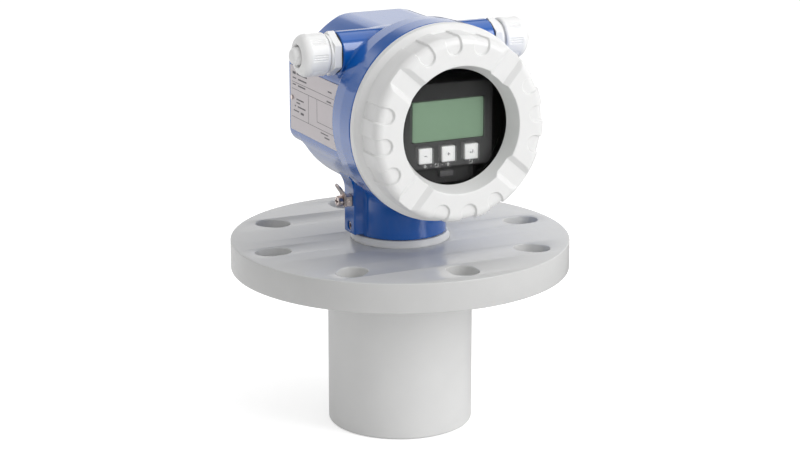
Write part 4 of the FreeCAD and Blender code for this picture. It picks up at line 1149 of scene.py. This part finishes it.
def key_box(word):
    """Corners of a key cap in cover-axis coordinates."""
    low, high = box_mm(f"key_{word}")
    x = (low[0] + high[0]) / 2
    y = (low[2] + high[2]) / 2 - AXIS_Z
    wide, tall = KEY_WIDTH / 2, KEY_HEIGHT / 2
    return (x - wide, y - tall, -high[1]), (x + wide, y + tall, -low[1])


def key_mark(word, x, y):
    """Outlines of a key's sign, in millimetres about its centre: a bar, a cross or a hooked arrow."""
    if word == "minus":
        return [rectangle(x, y, 1.9, 0.5)]
    if word == "plus":
        stubs = [rectangle(x, y + rise, 0.6, 0.7) for rise in (0.65, -0.65)]
        return [rectangle(x, y, 1.9, 0.6)] + stubs
    head = [(x - 1.4, y - 0.5), (x - 0.4, y - 1.2), (x - 0.4, y + 0.2)]
    return [head, rectangle(x + 0.3, y - 0.5, 1.4, 0.5), rectangle(x + 1.0, y + 0.25, 0.5, 2.0)]


def module_field(p):
    """Display housing, open at the back, with a shallow seat for the pane and a pocket for each key."""
    solid = block_field(p, (-MODULE_SIDE, MODULE_BOTTOM, PLATE_FACE), (MODULE_SIDE, MODULE_TOP, FACE),
                        MODULE_EDGE)
    side = MODULE_SIDE - MODULE_WALL
    front = FACE + CUT_OVERRUN
    hollows = [
        ((-side, MODULE_BOTTOM + MODULE_WALL, PLATE_FACE - CUT_OVERRUN),
         (side, MODULE_TOP - MODULE_WALL, FACE - MODULE_SKIN), HOLLOW_ROUND),
        ((PANE_LOW[0], PANE_LOW[2] - AXIS_Z, -PANE_HIGH[1]),
         (PANE_HIGH[0], PANE_HIGH[2] - AXIS_Z, front), EDGE_FINE),
    ]
    for low, high in map(key_box, KEYS):
        hollows.append(((low[0] - KEY_GAP, low[1] - KEY_GAP, low[2] - KEY_SINK),
                        (high[0] + KEY_GAP, high[1] + KEY_GAP, front), EDGE_SMALL))
    for hollow in hollows:
        solid = np.maximum(solid, -block_field(p, *hollow))
    return solid


def build_display():
    # The case's plastic carries painted light at its bottom and painted shade at its top.
    field_piece("display_case", module_field, (-MODULE_SIDE, MODULE_BOTTOM, PLATE_FACE),
                (MODULE_SIDE, MODULE_TOP, FACE), MODULE_CELL, head_frame,
                **look_of("housing", "dark_plastic", "display_housing", paint=MODULE_PAINTED_SHADING))
    # The shroud lines the cavity round the display in the carrier's plastic: nearly black above the case's
    # bottom edge as painted shade, lighter below it as painted light.
    inside = CARRIER_RADIUS - SHROUD_WALL
    back = PLATE_FACE - SHROUD_SINK
    turned_piece("display_shroud", [
        (inside, back, 0), (CARRIER_RADIUS, back, 0), (CARRIER_RADIUS, SHROUD_FRONT, EDGE_FINE),
        (inside, SHROUD_FRONT, EDGE_FINE),
    ], head_frame, SHROUD_SEGMENTS, **look_of("housing", "dark_plastic", paint=CARRIER_PAINTED_SHADING))
    field_piece("lcd_sheet", pane_field, (PANE_LOW[0], PANE_LOW[2] - AXIS_Z, -PANE_HIGH[1]),
                (PANE_HIGH[0], PANE_HIGH[2] - AXIS_Z, -PANE_LOW[1]), PANE_CELL, head_frame,
                **look_of("housing", "lcd_green", "lcd_pane"))
    places = []
    for word in KEYS:
        low, high = key_box(word)
        x = (low[0] + high[0]) / 2
        y = (low[1] + high[1]) / 2
        places.append(x)
        field_piece(f"key_{word}_cap", lambda p: block_field(p, low, high, KEY_EDGE),
                    np.array(low) - KEY_CELL, np.array(high) + KEY_CELL, KEY_CELL, head_frame,
                    **look_of(f"{word}_key", "key_plastic", f"key_{word}"))
        raised(f"key_{word}_mark", key_mark(word, x, y), high[2], MARK_PROUD, head_frame,
               **look_of(f"{word}_key", "key_plastic", paint=INK))
    level = key_box("plus")[0][1] - ICON_DROP
    minus, plus, enter = places
    middle = (minus + plus) / 2
    icons = arrow(minus, level, ICON_SIZE, -1) + arrow(plus, level, ICON_SIZE, 1)
    icons += corner_box(middle, level, ICON_SIZE) + corner_box(enter, level, ICON_SIZE)
    icons += [rectangle((end + middle) / 2, level, *DASH) for end in (minus, plus)]
    raised("panel_icons", icons, FACE, MARK_PROUD, head_frame,
           **look_of("housing", "dark_plastic", paint=PALE_INK))


build_flange()
build_sensor()
build_casting()
build_cover()
build_gland(-1, "left")
build_gland(1, "right")
build_terminal()
build_name_plate()
build_display()


# Studio in metres: white floor and surround, soft lamps, camera

CAMERA_AZIMUTH = math.radians(25.7)
TO_CAMERA = (-math.sin(CAMERA_AZIMUTH), -math.cos(CAMERA_AZIMUTH), 0)
FLOOR_Z = TUBE_LOW[2] * MM
FLOOR_SIZE = 60.0
FLOOR_TONE = 0.86
FLOOR_LIFT = 0.5
WORLD_LIGHT = 0.6
FRONT_MIRROR = 0.08
RIGHT_MIRROR = 0.75
BACKDROP_TOP = tuple(math.sin(math.radians(angle)) for angle in (24.8, 26.8))
ABOVE_MIRROR = 0.12
CEILING_EDGE = tuple(math.sin(math.radians(angle)) for angle in (33, 42))
CEILING_MIRROR = 0.65
FRONT_EDGE = (0.2, 0.75)
FLOOR_FRONT = (0.12, 0.5)
FLOOR_RIGHT = (-0.3, 0.2)

# Lamps: place, target, width, height, watts
LAMPS = {
    "key": ((0.5, -1.6, 1.15), (0, 0, 0.05), 2.2, 2.2, 4),
    "top": ((0.7, 0.3, 1.8), (0, 0, 0.1), 1.6, 1.6, 5),
    "highlight": ((0.95, -1.5, 1.0), (0, 0, 0.1), 0.6, 1.9, 19.0),
}


def arithmetic(tree, operation, *values, kind="Math"):
    made = tree.nodes.new("ShaderNode" + kind)
    made.operation = operation
    for socket, value in zip(made.inputs, values):
        plug(tree, socket, value)
    return made.outputs["Value"]


def toward_camera(tree, vector):
    return arithmetic(tree, "DOT_PRODUCT", vector, TO_CAMERA, kind="VectorMath")


def ray_kinds(tree):
    """1 for rays seen by the eye, and 1 for rays from a mirror."""
    path = added(tree, "LightPath")
    eye = arithmetic(tree, "MAXIMUM", path["Is Camera Ray"], path["Is Transmission Ray"])
    return eye, path["Is Glossy Ray"]


def build_world():
    """White to the eye, dim as light; mirrors show a white backdrop, a pale ceiling and a dark front."""
    world = bpy.data.worlds.new("studio")
    tree = shader_tree(world)
    eye, mirror = ray_kinds(tree)
    way = added(tree, "TexCoord")["Generated"]
    front = between(tree, toward_camera(tree, way), FRONT_EDGE, (1.0, FRONT_MIRROR))
    height = split(tree, way)["Z"]
    above = between(tree, height, BACKDROP_TOP, (1.0, ABOVE_MIRROR))
    ceiling = between(tree, height, CEILING_EDGE, (0.0, CEILING_MIRROR))
    shine = arithmetic(tree, "MINIMUM", front, arithmetic(tree, "MAXIMUM", above, ceiling))
    extra = arithmetic(tree, "SUBTRACT", shine, WORLD_LIGHT)
    lit = arithmetic(tree, "MULTIPLY_ADD", extra, mirror, WORLD_LIGHT)
    strength = arithmetic(tree, "MAXIMUM", lit, eye)
    feed(tree, tree.nodes["Background"], Strength=strength, Color=(1, 1, 1, 1))
    bpy.context.scene.world = world


def build_floor():
    """White floor that mirrors on the object show darker on the camera's side and to the right."""
    made = bpy.data.materials.new("floor")
    tree = shader_tree(made)
    eye, mirror = ray_kinds(tree)
    place = added(tree, "NewGeometry")["Position"]
    facing = between(tree, toward_camera(tree, place), FLOOR_FRONT, (0.0, 1.0))
    right = between(tree, split(tree, place)["X"], FLOOR_RIGHT, (0.0, RIGHT_MIRROR))
    shade = arithmetic(tree, "MULTIPLY", mirror, arithmetic(tree, "MAXIMUM", facing, right))
    tone = between(tree, shade, (0.0, 1.0), (FLOOR_TONE, FLOOR_TONE * FRONT_MIRROR))
    seen = arithmetic(tree, "MAXIMUM", eye, arithmetic(tree, "SUBTRACT", mirror, shade))
    lift = arithmetic(tree, "MULTIPLY", seen, FLOOR_LIFT)
    feed(tree, tree.nodes["Principled BSDF"], Base_Color=tone, Roughness=0.9, Specular_IOR_Level=0.1,
         Emission_Color=(1, 1, 1, 1), Emission_Strength=lift)
    half = FLOOR_SIZE / 2
    mesh = bpy.data.meshes.new("floor")
    corners = ((-half, -half), (half, -half), (half, half), (-half, half))
    mesh.from_pydata([(x, y, FLOOR_Z) for x, y in corners], [], [(0, 1, 2, 3)])
    mesh.materials.append(made)
    floor = bpy.data.objects.new("floor", mesh)
    show(floor)


def soft_lamp(name, place, target, width, height, power):
    lamp = bpy.data.lights.new(name, "AREA")
    lamp.shape = "RECTANGLE"
    lamp.size = width
    lamp.size_y = height
    lamp.energy = power
    holder = bpy.data.objects.new(name, lamp)
    holder.location = place
    holder.rotation_mode = "QUATERNION"
    holder.rotation_quaternion = (Vector(target) - Vector(place)).to_track_quat("-Z", "Y")
    show(holder)


CAMERA_DISTANCE = 1.46666
CAMERA_HEIGHT = 0.42726
CAMERA_PITCH = 0.2663
FOCAL_PIXELS = 2252.8
IMAGE_WIDTH = 800
SENSOR = 36.0


def build_camera():
    lens = bpy.data.cameras.new("camera")
    lens.sensor_width = SENSOR
    lens.lens = FOCAL_PIXELS / IMAGE_WIDTH * SENSOR
    camera = bpy.data.objects.new("camera", lens)
    camera.location = (TO_CAMERA[0] * CAMERA_DISTANCE, TO_CAMERA[1] * CAMERA_DISTANCE, CAMERA_HEIGHT)
    camera.rotation_euler = (math.pi / 2 - CAMERA_PITCH, 0, -CAMERA_AZIMUTH)
    show(camera)
    bpy.context.scene.camera = camera


build_world()
build_floor()
for lamp_name, lamp_setting in LAMPS.items():
    soft_lamp(lamp_name, *lamp_setting)
build_camera()
bpy.context.scene.view_settings.view_transform = "Standard"
